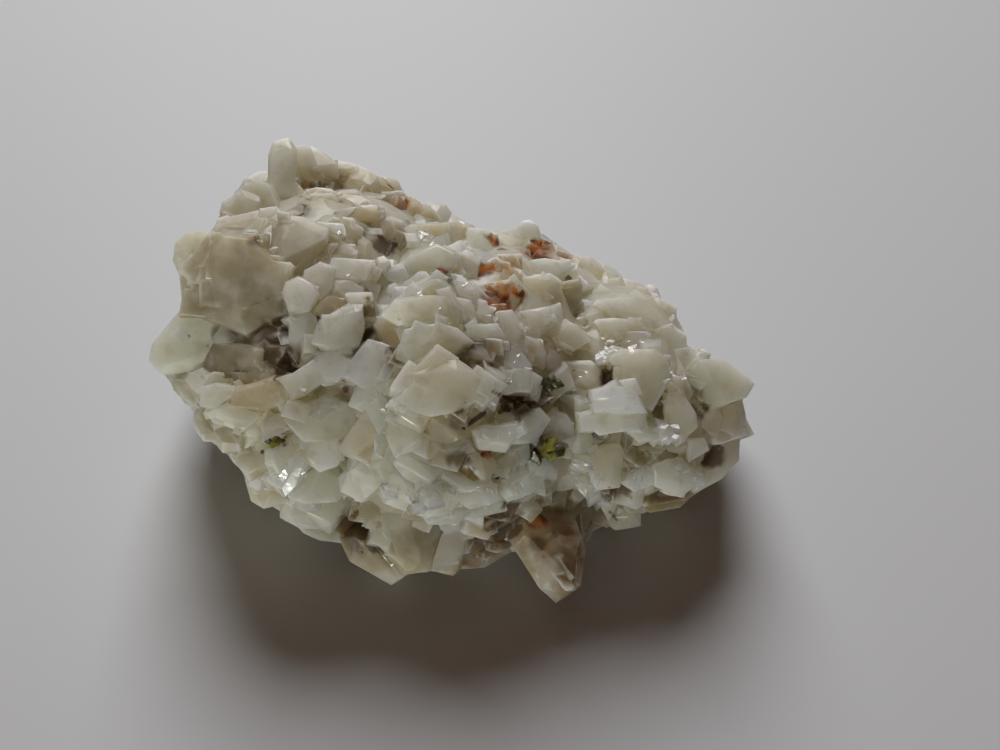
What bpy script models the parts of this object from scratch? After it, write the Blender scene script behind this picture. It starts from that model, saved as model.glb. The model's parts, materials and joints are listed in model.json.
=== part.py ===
# Albite: a cluster of pale, blocky albite crystals grown together on one vein fragment,
# with three small crystals of a green accessory mineral seated among them.
#
# The albite is one solid. It starts from three rounded lobes of massive albite, and every
# crystal is a tapered prism that is rooted in them. The crystals on the upper front are laid out
# one by one, by the outline that each shows in an oblique view; those on the back, the ends
# and the underside follow a seeded pattern of sheared blocks. The fragment is broken off
# flat underneath and rests on that face.
#
# Units: millimetres inside the functions, metres in the scene. +Z is up, +X is the long way.

import math
import random

import bmesh
import bpy
from mathutils import Matrix, Vector
from mathutils.geometry import convex_hull_2d

# ---------------------------------------------------------------- driving dimensions
MM = 0.001
LENGTH, DEPTH, HEIGHT = 50.0, 37.0, 26.0  # overall size of the specimen, for reference
GAP = 0.32  # clearance round a crystal of the green mineral
SEED = 7

# The oblique view that the outlines are measured in. One outline unit is 1/12.1 mm at the
# middle of the specimen, and shrinks with the distance from the eye.
UNIT = 1 / 12.1
EYE = 114.8  # distance from the eye to the middle of the specimen
AZIMUTH, ELEVATION = math.radians(20), math.radians(50)
MIDDLE = Vector((4.53, 1.3, 11.3))  # the point that stands at (500, 375) in the view
RIGHT = Vector((math.cos(AZIMUTH), math.sin(AZIMUTH), 0))
UP = Vector(
    (
        -math.sin(AZIMUTH) * math.sin(ELEVATION),
        math.cos(AZIMUTH) * math.sin(ELEVATION),
        math.cos(ELEVATION),
    )
)
TOWARDS = Vector(
    (
        math.sin(AZIMUTH) * math.cos(ELEVATION),
        -math.cos(AZIMUTH) * math.cos(ELEVATION),
        math.sin(ELEVATION),
    )
)

# The lobes of massive albite: centre in the view, height of the centre above the base, and
# half sizes along X, Y and Z.
LOBES = (
    ("left", (318, 350), 11.2, (12.3, 15.9, 12.0)),
    ("middle", (452, 386), 10.7, (13.0, 13.5, 11.6)),
    ("right", (608, 398), 9.6, (10.9, 9.5, 8.8)),
)

BACK_SPACING = 4.1  # between the crystals of the seeded pattern
BACK_SIZE = (4.6, 8.2)

# The outline of the whole cluster in the view. Nothing on the hidden sides reaches past it.
SILHOUETTE = [
    (272, 149), (272, 142), (278, 137), (288, 137), (293, 143), (310, 149), (320, 150),
    (330, 157), (340, 160), (358, 165), (368, 169), (374, 175), (380, 172), (380, 178),
    (392, 178), (400, 183), (403, 188), (407, 195), (418, 196), (421, 202), (444, 203),
    (453, 213), (460, 219), (467, 222), (475, 224), (481, 223), (487, 229), (505, 228),
    (520, 226), (522, 221), (530, 220), (537, 223), (541, 230), (555, 237), (560, 242),
    (565, 250), (570, 253), (588, 255), (600, 260), (607, 262), (613, 268), (620, 275),
    (640, 283), (645, 287), (650, 284), (656, 286), (659, 292), (664, 298), (670, 303),
    (677, 307), (678, 312), (676, 320), (679, 327), (686, 328), (687, 333), (685, 340),
    (687, 346), (697, 346), (705, 348), (711, 352), (714, 358), (724, 359), (732, 364),
    (743, 370), (750, 377), (755, 383), (752, 390), (746, 396), (743, 400), (744, 410),
    (746, 420), (750, 430), (753, 434), (750, 437), (738, 440), (737, 450), (738, 460),
    (732, 468), (722, 478), (710, 488), (695, 493), (685, 504), (680, 507), (665, 508),
    (650, 512), (641, 515), (640, 525), (630, 527), (612, 531), (600, 528), (592, 533),
    (588, 540), (584, 548), (583, 560), (581, 575), (580, 585), (572, 595), (565, 600),
    (556, 601), (547, 597), (540, 588), (530, 575), (522, 560), (517, 548), (505, 556),
    (495, 560), (485, 568), (475, 565), (461, 568), (453, 575), (440, 572), (420, 572),
    (408, 573), (398, 580), (390, 584), (384, 582), (375, 576), (360, 568), (350, 560),
    (344, 552), (344, 543), (335, 543), (320, 541), (309, 540), (303, 533), (300, 528),
    (282, 522), (279, 518), (286, 502), (280, 508), (262, 508), (252, 500), (245, 480),
    (240, 466), (232, 466), (230, 458), (222, 453), (218, 446), (214, 441), (203, 441),
    (195, 433), (193, 425), (195, 412), (187, 408), (182, 400), (176, 394), (171, 392),
    (170, 385), (168, 380), (160, 373), (156, 366), (150, 360), (149, 353), (153, 343),
    (160, 334), (170, 322), (180, 311), (187, 308), (187, 300), (184, 290), (181, 280),
    (176, 272), (173, 260), (174, 250), (176, 242), (182, 235), (187, 231), (200, 230),
    (212, 231), (215, 225), (216, 219), (219, 213), (222, 201), (228, 195), (235, 190),
    (240, 184), (244, 179), (250, 174), (258, 171), (268, 171), (269, 165), (268, 155),
]

# The crystals of the upper front: name, how far each stands proud of the lobes (mm), and the
# outline that it shows in the view.
CRYSTALS = (
    ("A1", 2.2, [
        (212, 236), (240, 237), (252, 240), (257, 247), (268, 262), (283, 275), (283, 290),
        (280, 310), (262, 330), (245, 330), (230, 318), (215, 314), (200, 314), (188, 308),
        (187, 298), (181, 280), (180, 272), (187, 262), (198, 248),
    ]),
    ("A2", 0.0, [
        (175, 243), (187, 231), (200, 230), (212, 232), (212, 236), (198, 248), (187, 262),
        (180, 273), (173, 260),
    ]),
    ("A3", 0.6, [
        (219, 213), (222, 201), (232, 193), (240, 190), (258, 196), (258, 210), (240, 215),
        (230, 222),
    ]),
    ("A4", -0.4, [
        (218, 220), (230, 224), (240, 215), (256, 212), (254, 235), (228, 238), (213, 235),
    ]),
    ("A5", 0.0, [(240, 188), (244, 179), (258, 171), (268, 172), (268, 190), (250, 192)]),
    ("B1", 1.0, [
        (272, 142), (278, 137), (288, 137), (293, 143), (292, 160), (296, 190), (285, 197),
        (270, 195), (268, 172), (268, 155),
    ]),
    ("B2", 0.4, [
        (293, 146), (310, 149), (330, 157), (335, 163), (312, 167), (300, 166), (292, 163),
    ]),
    ("B4", 0.2, [(296, 165), (312, 168), (330, 172), (331, 187), (305, 190), (296, 188)]),
    ("B6", 0.6, [(345, 175), (358, 166), (368, 169), (377, 176), (380, 188), (352, 190)]),
    ("B11", 0.7, [(358, 207), (372, 205), (384, 208), (380, 218), (360, 228), (350, 222)]),
    ("B15", 0.7, [(421, 203), (432, 202), (446, 204), (452, 212), (450, 223), (428, 223)]),
    ("B16", 0.3, [(452, 213), (466, 222), (467, 240), (450, 250), (440, 240)]),
    ("C1", 1.0, [
        (284, 217), (300, 218), (312, 222), (322, 226), (328, 228), (320, 253), (303, 272),
        (298, 278), (284, 270), (272, 260), (270, 250), (278, 236), (274, 227),
    ]),
    ("C7", 0.0, [
        (320, 236), (332, 236), (345, 245), (358, 250), (355, 261), (338, 263), (322, 251),
    ]),
    ("C8", 0.6, [(322, 225), (335, 219), (350, 221), (362, 228), (358, 246), (334, 239)]),
    ("D2", 0.2, [
        (382, 220), (392, 218), (402, 222), (406, 243), (400, 251), (389, 253), (378, 243),
    ]),
    ("D6", 0.8, [
        (402, 262), (418, 255), (436, 245), (451, 252), (456, 262), (440, 275), (415, 281),
        (401, 269),
    ]),
    ("E1", 1.7, [
        (286, 283), (298, 277), (303, 283), (314, 286), (317, 293), (314, 303), (308, 310),
        (296, 313), (289, 310), (284, 293),
    ]),
    ("E2", 0.9, [
        (303, 283), (305, 271), (320, 263), (332, 267), (331, 286), (320, 298), (312, 296),
    ]),
    ("E3", 0.6, [(325, 258), (345, 261), (373, 261), (370, 276), (350, 281), (333, 279)]),
    ("E4", 0.4, [(335, 281), (350, 281), (363, 288), (361, 301), (345, 304), (328, 293)]),
    ("E5", 0.2, [(322, 296), (335, 297), (347, 304), (343, 317), (330, 323), (309, 312)]),
    ("E6", 1.6, [
        (343, 308), (350, 304), (362, 304), (364, 310), (363, 330), (358, 345), (345, 351),
        (330, 351), (313, 343), (320, 322), (330, 314),
    ]),
    ("E7", 0.0, [
        (290, 315), (310, 313), (319, 322), (312, 346), (305, 361), (296, 367), (289, 352),
    ]),
    ("E8", -1.6, [
        (262, 286), (286, 292), (290, 318), (288, 345), (272, 356), (256, 344), (262, 330),
    ]),
    ("G1", 1.6, [
        (149, 353), (153, 343), (160, 334), (170, 322), (180, 311), (188, 308), (200, 314),
        (220, 314), (230, 322), (243, 331), (247, 338), (240, 343), (215, 342), (210, 346),
        (205, 361), (195, 368), (180, 373), (160, 373), (150, 360),
    ]),
    ("G2", -1.2, [(208, 344), (240, 344), (262, 350), (260, 378), (225, 378), (206, 368)]),
    ("G4", 0.0, [(170, 380), (180, 374), (189, 378), (201, 400), (190, 406), (176, 394)]),
    ("G6", -0.6, [(258, 362), (270, 360), (286, 370), (281, 380), (256, 381)]),
    ("H1", 0.8, [(202, 388), (215, 384), (233, 386), (235, 396), (215, 409), (201, 405)]),
    ("H2", 0.2, [(233, 388), (262, 382), (281, 379), (286, 400), (262, 410), (233, 406)]),
    ("H3", 0.6, [(284, 380), (300, 369), (313, 361), (327, 379), (306, 394), (291, 401)]),
    ("H5", 0.6, [(207, 413), (228, 403), (250, 410), (263, 416), (241, 431), (214, 421)]),
    ("H7", 0.0, [(195, 412), (203, 408), (215, 425), (215, 441), (203, 442), (193, 426)]),
    ("H8", 0.2, [(214, 430), (229, 428), (242, 435), (239, 451), (222, 453), (213, 441)]),
    ("H9", 0.0, [(231, 458), (250, 447), (263, 455), (267, 471), (250, 481), (240, 467)]),
    ("H11", 0.6, [
        (266, 452), (278, 446), (291, 441), (295, 450), (286, 473), (275, 476), (266, 463),
    ]),
    ("H12", 0.2, [(261, 419), (270, 413), (291, 428), (282, 432), (262, 441)]),
    ("I1", 0.9, [
        (294, 410), (325, 399), (356, 408), (359, 421), (339, 441), (305, 441), (287, 420),
    ]),
    ("I2", 1.3, [(299, 437), (338, 440), (341, 455), (336, 466), (320, 471), (299, 456)]),
    ("I3", 1.7, [(299, 454), (306, 468), (301, 481), (286, 496), (279, 479), (292, 460)]),
    ("I5", -0.6, [(245, 480), (262, 481), (273, 490), (286, 502), (264, 509), (251, 501)]),
    ("I6", 1.0, [
        (299, 480), (318, 469), (336, 467), (346, 490), (336, 501), (305, 503), (291, 498),
    ]),
    ("I7", 0.5, [(285, 501), (305, 502), (319, 515), (323, 529), (300, 529), (279, 518)]),
    ("I8", 0.7, [(305, 502), (345, 494), (359, 500), (339, 524), (330, 533), (309, 516)]),
    ("I9", 0.0, [(299, 527), (335, 527), (344, 543), (320, 541), (303, 533)]),
    ("I10", 1.2, [(339, 478), (360, 461), (376, 464), (379, 486), (361, 501), (342, 491)]),
    ("I11", 0.5, [
        (344, 440), (365, 411), (381, 421), (386, 435), (379, 451), (361, 461), (337, 451),
    ]),
    ("I12", 0.9, [(349, 405), (358, 384), (376, 387), (386, 400), (381, 421), (367, 413)]),
    ("J1", -2.2, [
        (361, 502), (337, 528), (343, 541), (362, 550), (382, 550), (374, 530), (368, 515),
    ]),
    ("J2", 0.6, [
        (342, 541), (350, 538), (378, 550), (394, 557), (409, 573), (398, 581), (391, 585),
        (375, 577), (362, 570), (350, 562), (344, 552),
    ]),
    ("J4", 1.5, [
        (361, 502), (370, 494), (400, 499), (406, 514), (441, 524), (431, 545), (427, 572),
        (404, 571), (389, 552), (375, 540), (366, 518),
    ]),
    ("J5", 2.3, [
        (429, 528), (445, 523), (464, 522), (467, 533), (463, 553), (452, 563), (427, 569),
        (429, 548),
    ]),
    ("J10", 0.7, [(439, 487), (455, 489), (463, 500), (446, 516), (425, 519), (421, 506)]),
    ("J12", 0.8, [(456, 492), (480, 487), (496, 489), (498, 501), (470, 509), (459, 501)]),
    ("J13", 0.2, [(469, 510), (498, 503), (493, 531), (487, 539), (465, 533)]),
    ("J14", 0.9, [
        (381, 474), (395, 469), (411, 479), (421, 490), (419, 506), (402, 501), (392, 485),
    ]),
    ("J15", 0.8, [
        (394, 464), (400, 454), (418, 454), (433, 460), (443, 470), (426, 488), (404, 476),
    ]),
    ("J16", 0.8, [(441, 470), (455, 474), (479, 488), (460, 492), (439, 481)]),
    ("K1", 2.0, [
        (403, 378), (420, 376), (436, 362), (453, 360), (470, 369), (492, 386), (478, 400),
        (462, 407), (446, 405), (433, 409), (418, 411), (401, 405), (397, 392),
    ]),
    ("K2", 1.3, [
        (407, 330), (420, 325), (440, 324), (455, 329), (471, 342), (462, 351), (440, 356),
        (420, 361), (398, 358), (404, 340),
    ]),
    ("K3a", 0.9, [
        (399, 292), (410, 287), (425, 279), (437, 276), (446, 282), (453, 292), (446, 298),
        (420, 299),
    ]),
    ("K3b", 1.2, [
        (397, 300), (405, 291), (413, 289), (433, 302), (429, 313), (410, 315), (401, 309),
    ]),
    ("K3c", 1.2, [(384, 315), (398, 299), (452, 295), (459, 310), (456, 326), (408, 331)]),
    ("K3d", 0.2, [(372, 328), (385, 314), (413, 326), (405, 349), (384, 346)]),
    ("K5", 1.1, [
        (368, 341), (378, 344), (401, 365), (398, 379), (385, 386), (372, 393), (351, 379),
        (344, 370), (357, 355),
    ]),
    ("K6", 1.0, [
        (319, 353), (335, 351), (346, 357), (349, 366), (338, 381), (327, 381), (313, 362),
    ]),
    ("K7", 0.3, [(337, 378), (352, 377), (371, 395), (355, 400), (337, 389)]),
    ("K9", 0.6, [(367, 396), (383, 389), (389, 425), (378, 433), (364, 408)]),
    ("K10", 0.9, [
        (408, 370), (415, 364), (430, 352), (439, 348), (437, 366), (431, 372), (418, 380),
    ]),
    ("K12", 0.8, [
        (387, 405), (402, 404), (419, 412), (416, 436), (421, 446), (395, 456), (384, 430),
    ]),
    ("K14", 0.0, [
        (414, 422), (425, 410), (462, 408), (488, 408), (478, 426), (462, 434), (450, 457),
        (430, 458), (415, 452),
    ]),
    ("L3", 0.5, [(439, 445), (455, 439), (468, 439), (473, 450), (452, 461)]),
    ("L5", 1.1, [(472, 431), (485, 427), (515, 425), (519, 432), (505, 451), (480, 449)]),
    ("L7", 0.4, [(474, 455), (490, 454), (496, 465), (486, 486), (469, 466)]),
    ("L8", 0.3, [(494, 460), (515, 449), (519, 462), (509, 479), (494, 473)]),
    ("L11", -0.6, [(499, 500), (530, 496), (541, 510), (531, 521), (510, 509)]),
    ("L13", -0.4, [
        (466, 531), (492, 529), (516, 529), (516, 548), (505, 556), (485, 568), (461, 568),
        (463, 540),
    ]),
    ("M2", 1.0, [
        (514, 478), (525, 467), (535, 457), (549, 462), (553, 470), (538, 486), (530, 494),
        (521, 493),
    ]),
    ("M4", 0.8, [(506, 420), (520, 411), (540, 409), (549, 420), (536, 441), (514, 443)]),
    ("M5", -0.8, [(504, 400), (540, 399), (553, 397), (531, 413), (511, 411)]),
    ("M6", 0.9, [(502, 378), (515, 369), (530, 371), (541, 378), (536, 394), (504, 393)]),
    ("M9", 0.7, [(547, 418), (555, 411), (566, 414), (573, 425), (571, 441), (551, 436)]),
    ("M10", 0.5, [(559, 395), (575, 397), (581, 410), (573, 441), (564, 413)]),
    ("N1", 0.5, [(452, 275), (462, 276), (481, 292), (479, 303), (457, 293)]),
    ("N2", 0.4, [(451, 296), (470, 301), (479, 320), (470, 326), (455, 311)]),
    ("N4", 0.8, [(471, 325), (497, 324), (503, 335), (485, 343), (467, 336)]),
    ("N5", 0.5, [(454, 358), (470, 341), (501, 344), (501, 369), (470, 370)]),
    ("N7", 0.6, [(501, 344), (516, 347), (531, 365), (526, 373), (502, 373)]),
    ("N8", 0.7, [(499, 312), (512, 311), (523, 328), (518, 340), (508, 343), (504, 330)]),
    ("N9", 0.4, [(521, 334), (540, 341), (546, 352), (544, 366), (527, 363)]),
    ("N10", 0.9, [(522, 312), (550, 307), (553, 318), (552, 326), (539, 336), (529, 324)]),
    ("N11", 0.9, [(549, 340), (565, 321), (576, 325), (589, 340), (570, 353)]),
    ("N13", 0.2, [
        (559, 290), (568, 282), (579, 280), (581, 311), (575, 323), (559, 319), (554, 308),
    ]),
    ("N16", 0.6, [(524, 278), (550, 274), (561, 282), (551, 309), (527, 296)]),
    ("N24", 0.6, [(454, 255), (470, 249), (481, 258), (476, 276), (454, 271)]),
    ("N25", 0.3, [(469, 228), (487, 230), (501, 240), (486, 253), (468, 246)]),
    ("N26", 0.6, [(521, 262), (545, 259), (576, 264), (561, 279), (539, 279)]),
    ("N28", 0.2, [(497, 232), (520, 227), (531, 240), (515, 251)]),
    ("O4", 0.9, [(599, 300), (640, 297), (661, 315), (650, 326), (612, 317)]),
    ("O6", 0.6, [(599, 320), (640, 321), (646, 332), (612, 346)]),
    ("O8", 0.3, [(654, 330), (670, 324), (686, 335), (686, 346), (664, 349)]),
    ("P2", 1.4, [
        (612, 359), (622, 351), (655, 351), (667, 362), (669, 378), (661, 398), (652, 407),
        (637, 403), (629, 390), (617, 375),
    ]),
    ("P3", -0.6, [(601, 362), (617, 364), (620, 389), (602, 391)]),
    ("P4", 1.9, [
        (591, 408), (595, 397), (605, 391), (631, 388), (638, 398), (646, 418), (645, 426),
        (630, 426), (600, 433), (584, 420),
    ]),
    ("P6", 0.8, [(593, 449), (618, 445), (623, 452), (619, 486), (597, 489), (591, 465)]),
    ("P9", 0.7, [(621, 425), (650, 421), (666, 440), (640, 442)]),
    ("P10", -0.5, [(621, 445), (660, 435), (669, 445), (650, 463), (629, 469)]),
    ("P12", 0.7, [(667, 395), (680, 391), (695, 412), (697, 426), (680, 442), (666, 412)]),
    ("P15", 0.8, [
        (689, 385), (692, 370), (700, 361), (724, 359), (743, 370), (755, 383), (746, 397),
        (725, 403), (700, 413), (689, 400),
    ]),
    ("P18", 0.4, [(714, 405), (743, 401), (747, 420), (742, 439), (724, 431), (699, 421)]),
    ("P20", 0.6, [
        (704, 465), (711, 438), (725, 431), (739, 440), (739, 460), (722, 479), (695, 494),
    ]),
    ("P22", 1.0, [(654, 468), (670, 459), (683, 461), (701, 480), (680, 496), (657, 486)]),
    ("P23", 0.8, [(629, 475), (645, 467), (656, 482), (635, 492), (621, 483)]),
    ("P24", 0.0, [(635, 500), (655, 484), (693, 493), (680, 508), (650, 513)]),
    ("P27", 0.6, [(617, 505), (639, 504), (641, 526), (615, 531), (606, 522)]),
    ("R1", 0.8, [(574, 399), (590, 404), (593, 440), (590, 456), (577, 456), (569, 445)]),
    ("S1", 0.7, [(561, 362), (590, 361), (601, 370), (601, 386), (575, 393), (559, 388)]),
    ("Q1", 0.8, [
        (517, 548), (522, 530), (532, 526), (546, 534), (560, 527), (576, 529), (585, 550),
        (581, 586), (566, 600), (556, 602), (540, 588), (522, 562),
    ]),
    ("Q4", 0.7, [
        (537, 500), (548, 484), (560, 477), (569, 490), (564, 518), (556, 529), (543, 521),
    ]),
    ("Q5", 0.7, [(564, 512), (583, 504), (601, 515), (590, 534), (561, 529)]),
)

# The green accessory crystals: node name, lift, outline and colour.
GREEN = (
    ("green_crystal_large", 1.5, [(521, 452), (525, 446), (534, 440), (541, 437), (556, 437), (564, 447), (562, 455), (550, 463), (537, 459), (526, 460)], "green"),
    ("green_crystal_small", 1.2, [(534, 377), (553, 372), (557, 380), (557, 392), (541, 398)], "dark"),
    ("green_crystal_left", 1.2, [(264, 447), (270, 438), (276, 430), (283, 429), (287, 436), (279, 447), (268, 453)], "green"),
)


# ---------------------------------------------------------------- the oblique view
def seen_at(u, v, towards=0.0):
    """The point that shows at (u, v) in the view, this much nearer than the middle."""
    k = UNIT * (1 - towards / EYE)
    return MIDDLE + RIGHT * ((u - 500) * k) + UP * ((375 - v) * k) + TOWARDS * towards


def in_view(point):
    rel = point - MIDDLE
    k = UNIT * (1 - rel.dot(TOWARDS) / EYE)
    return 500 + rel.dot(RIGHT) / k, 375 - rel.dot(UP) / k


def on_plane(u, v, through, normal):
    """Where the line of sight of (u, v) meets a plane."""
    eye = MIDDLE + TOWARDS * EYE
    line = seen_at(u, v) - eye
    return eye + line * ((through - eye).dot(normal) / line.dot(normal))


def inside_outline(u, v, outline):
    inside = False
    for (x1, y1), (x2, y2) in zip(outline, outline[1:] + outline[:1]):
        if (y1 > v) != (y2 > v) and u < (x2 - x1) * (v - y1) / (y2 - y1) + x1:
            inside = not inside
    return inside


def inside_silhouette(point):
    return inside_outline(*in_view(point), SILHOUETTE)


# ---------------------------------------------------------------- the lobes
def settled(uv, height):
    """The lobe's centre: on the line of sight of uv, at this height above the base."""
    towards = 0.0
    for _ in range(20):
        towards += (height - seen_at(*uv, towards).z) / TOWARDS.z
    return seen_at(*uv, towards)


BODY = [(settled(uv, height), Vector(half)) for _, uv, height, half in LOBES]


def outside_body(point):
    """About how far a point is outside the lobes, and the way out."""
    best, way = 1e9, None
    for centre, half in BODY:
        rel = point - centre
        scaled = Vector((rel.x / half.x, rel.y / half.y, rel.z / half.z))
        gap = (scaled.length - 1) * min(half)
        if gap < best:
            best = gap
            way = Vector((scaled.x / half.x, scaled.y / half.y, scaled.z / half.z))
    return best, way.normalized()


def seat(u, v):
    """Where the line of sight meets the lobes, or passes closest to them."""
    best, found = 1e9, 0.0
    steps = [24 - 0.2 * i for i in range(240)]
    for towards in steps:
        gap, _ = outside_body(seen_at(u, v, towards))
        if gap < 0:
            return towards
        if gap < best:
            best, found = gap, towards
    return found


# ---------------------------------------------------------------- crystals
def hull(points):
    """The convex solid round these points, as a bmesh."""
    bm = bmesh.new()
    for p in points:
        bm.verts.new(p * MM)
    bmesh.ops.convex_hull(bm, input=bm.verts)
    loose = [v for v in bm.verts if not v.link_faces]
    bmesh.ops.delete(bm, geom=loose, context="VERTS")
    bmesh.ops.dissolve_limit(
        bm, angle_limit=math.radians(1), verts=bm.verts, edges=bm.edges
    )
    bmesh.ops.recalc_face_normals(bm, faces=bm.faces)
    return bm


def add_object(name, bm, collection, material=None):
    mesh = bpy.data.meshes.new(name)
    bm.to_mesh(mesh)
    bm.free()
    obj = bpy.data.objects.new(name, mesh)
    collection.objects.link(obj)
    if material:
        mesh.materials.append(material)
    return obj


def as_helper(obj):
    obj.hide_render = True
    obj.display_type = "WIRE"


def corners_of(outline, least=6.0):
    """The corners of an outline's hull, without those that hardly turn or crowd the last one."""
    order = convex_hull_2d([Vector(p) for p in outline])
    ring = [Vector(outline[i]) for i in order]
    kept = []
    for i, p in enumerate(ring):
        before, after = ring[i - 1], ring[(i + 1) % len(ring)]
        turn = (p - before).angle(after - p, 0.0)
        if math.degrees(turn) < 14:
            continue
        if kept and (p - kept[-1]).length < least:
            continue
        kept.append(p)
    return kept if len(kept) >= 3 else ring


def prism_points(outline, lift, rng, spread=1.05, low=1.0):
    """A crystal that shows this outline in the view: a front face, and a smaller root in the body."""
    ring = corners_of(outline)
    middle = sum(ring, Vector((0, 0))) / len(ring)
    area = abs(
        sum(a.x * b.y - b.x * a.y for a, b in zip(ring, ring[1:] + ring[:1])) / 2
    )
    across = math.sqrt(area) * UNIT
    towards = seat(middle.x, middle.y) + lift
    way = outside_body(seen_at(middle.x, middle.y, towards))[1]
    tilt = Vector([rng.uniform(-1, 1) for _ in range(3)])
    facing = (TOWARDS + 0.45 * way + 0.22 * tilt).normalized()
    ring = [middle + (p - middle) * spread for p in ring]
    for _ in range(6):
        through = seen_at(middle.x, middle.y, towards)
        front = [on_plane(p.x, p.y, through, facing) for p in ring]
        lowest = min(p.z for p in front)
        if lowest >= low:
            break
        towards += (low - lowest) / TOWARDS.z
    into = (0.55 * TOWARDS + 0.45 * way).normalized()
    deep = max(2.6, min(6.0, 1.1 * across))
    root = through - into * (deep + 0.5 * abs(lift))
    for _ in range(30):  # every crystal is rooted in the lobes
        gap, out = outside_body(root)
        if gap < -3.0:
            break
        root -= out * 0.5
    back = [root + (p - through) * 0.74 for p in front]
    return front + back


def block_points(centre, out, rng, least, most):
    """A sheared block with one end face smaller, as the seeded crystals are."""
    side = out.cross(Vector((0.3, 0.5, 0.8))).normalized()
    turn = Matrix.Rotation(rng.uniform(0, math.tau), 3, out)
    side = turn @ side
    other = out.cross(side)
    lean = (out + 0.45 * rng.uniform(-1, 1) * side + 0.45 * rng.uniform(-1, 1) * other)
    lean.normalize()
    a, b = rng.uniform(least, most), rng.uniform(least, most) * 0.8
    c = rng.uniform(least, most) * 1.1
    shear = rng.uniform(0.15, 0.4) * rng.choice((-1, 1))
    top = rng.uniform(0.62, 0.95)
    points = []
    for z, scale in ((1, top), (-1, 1.0)):
        for x, y in ((-1, -1), (1, -1), (1, 1), (-1, 1)):
            points.append(
                centre
                + side * (0.5 * a * scale * (x + shear * y))
                + other * (0.5 * b * scale * y)
                + lean * (0.5 * c * z)
            )
    return points


# ---------------------------------------------------------------- scene
def clear_scene():
    for obj in list(bpy.data.objects):
        bpy.data.objects.remove(obj, do_unlink=True)
    for collection in list(bpy.data.collections):
        bpy.data.collections.remove(collection)


def new_collection(name):
    collection = bpy.data.collections.new(name)
    bpy.context.scene.collection.children.link(collection)
    return collection


def material(name, colour, roughness, transmission=0.0, ior=1.53):
    mat = bpy.data.materials.new(name)
    mat.use_nodes = True
    shader = mat.node_tree.nodes["Principled BSDF"]
    shader.inputs["Base Color"].default_value = (*colour, 1)
    shader.inputs["Roughness"].default_value = roughness
    shader.inputs["Metallic"].default_value = 0.0
    shader.inputs["Transmission Weight"].default_value = transmission
    shader.inputs["IOR"].default_value = ior
    mat.diffuse_color = (*colour, 1)
    return mat


def lobe(name, centre, half, collection):
    """One rounded lobe, pulled in where it would show outside the cluster's silhouette."""
    bm = bmesh.new()
    bmesh.ops.create_icosphere(bm, subdivisions=2, radius=1.0)
    for v in bm.verts:
        reach = 1.0
        while True:
            p = centre + Vector([c * h * reach for c, h in zip(v.co, half)])
            if inside_silhouette(p) or reach < 0.5:
                break
            reach -= 0.05
        v.co = (p - (p - centre).normalized() * 0.15) * MM
    return add_object(name, bm, collection)


def seeded_blocks(collection, rng):
    """Crystals over the faces that the outlines leave out, from a spiral of points on each lobe."""
    placed = []
    for index, (centre, half) in enumerate(BODY):
        area = 4 * math.pi * ((half.x * half.y * half.z) ** (1 / 3)) ** 2
        count = int(2.4 * area / BACK_SPACING**2)
        for i in range(count):
            z = 1 - 2 * (i + 0.5) / count
            angle = i * math.pi * (3 - math.sqrt(5)) + index
            ring = math.sqrt(1 - z * z)
            p = centre + Vector(
                (
                    half.x * ring * math.cos(angle),
                    half.y * ring * math.sin(angle),
                    half.z * z,
                )
            )
            gap, out = outside_body(p)
            if gap < -0.3 or p.z < -0.6 or out.z < -0.93 or out.dot(TOWARDS) > 0.16:
                continue
            if any((p - q).length < BACK_SPACING for q in placed):
                continue
            size = rng.uniform(*BACK_SIZE)
            points = block_points(p - out * rng.uniform(0.3, 1.5), out, rng, size * 0.7, size)
            heart = p - out * 2.2
            for _ in range(16):  # smaller where it would stand outside the silhouette
                if all(inside_silhouette(q) for q in points):
                    break
                points = [heart + (q - heart) * 0.94 for q in points]
            else:
                continue
            placed.append(p)
            as_helper(
                add_object(f"block_{index}_{i}", hull(points), collection)
            )
    return placed


def grown_pocket(points, name, collection):
    """The room round an accessory crystal: GAP on every side, and open towards the view."""
    room = []
    for p in points:
        for x in (-1, 1):
            for y in (-1, 1):
                for z in (-1, 1):
                    q = p + Vector((x, y, z)) * GAP
                    room += [q, q + TOWARDS * 9]
    obj = add_object(name, hull(room), collection)
    as_helper(obj)
    return obj


def boolean(obj, operation, other=None, collection=None):
    mod = obj.modifiers.new(operation.title(), "BOOLEAN")
    mod.operation = operation
    mod.solver = "EXACT"
    if collection:
        mod.operand_type = "COLLECTION"
        mod.collection = collection
    else:
        mod.object = other
    return mod


def joined(obj):
    """The object with its modifiers made real, and without the closed voids left between crystals."""
    graph = bpy.context.evaluated_depsgraph_get()
    mesh = bpy.data.meshes.new_from_object(obj.evaluated_get(graph))
    obj.modifiers.clear()
    obj.data = mesh
    bm = bmesh.new()
    bm.from_mesh(mesh)
    seen, groups = set(), []
    for start in bm.verts:
        if start in seen:
            continue
        seen.add(start)
        group, queue = [], [start]
        while queue:
            v = queue.pop()
            group.append(v)
            for edge in v.link_edges:
                other = edge.other_vert(v)
                if other not in seen:
                    seen.add(other)
                    queue.append(other)
        groups.append(group)
    groups.sort(key=len, reverse=True)
    small = [v for group in groups[1:] for v in group]
    bmesh.ops.delete(bm, geom=small, context="VERTS")
    bm.to_mesh(mesh)
    bm.free()


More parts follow.
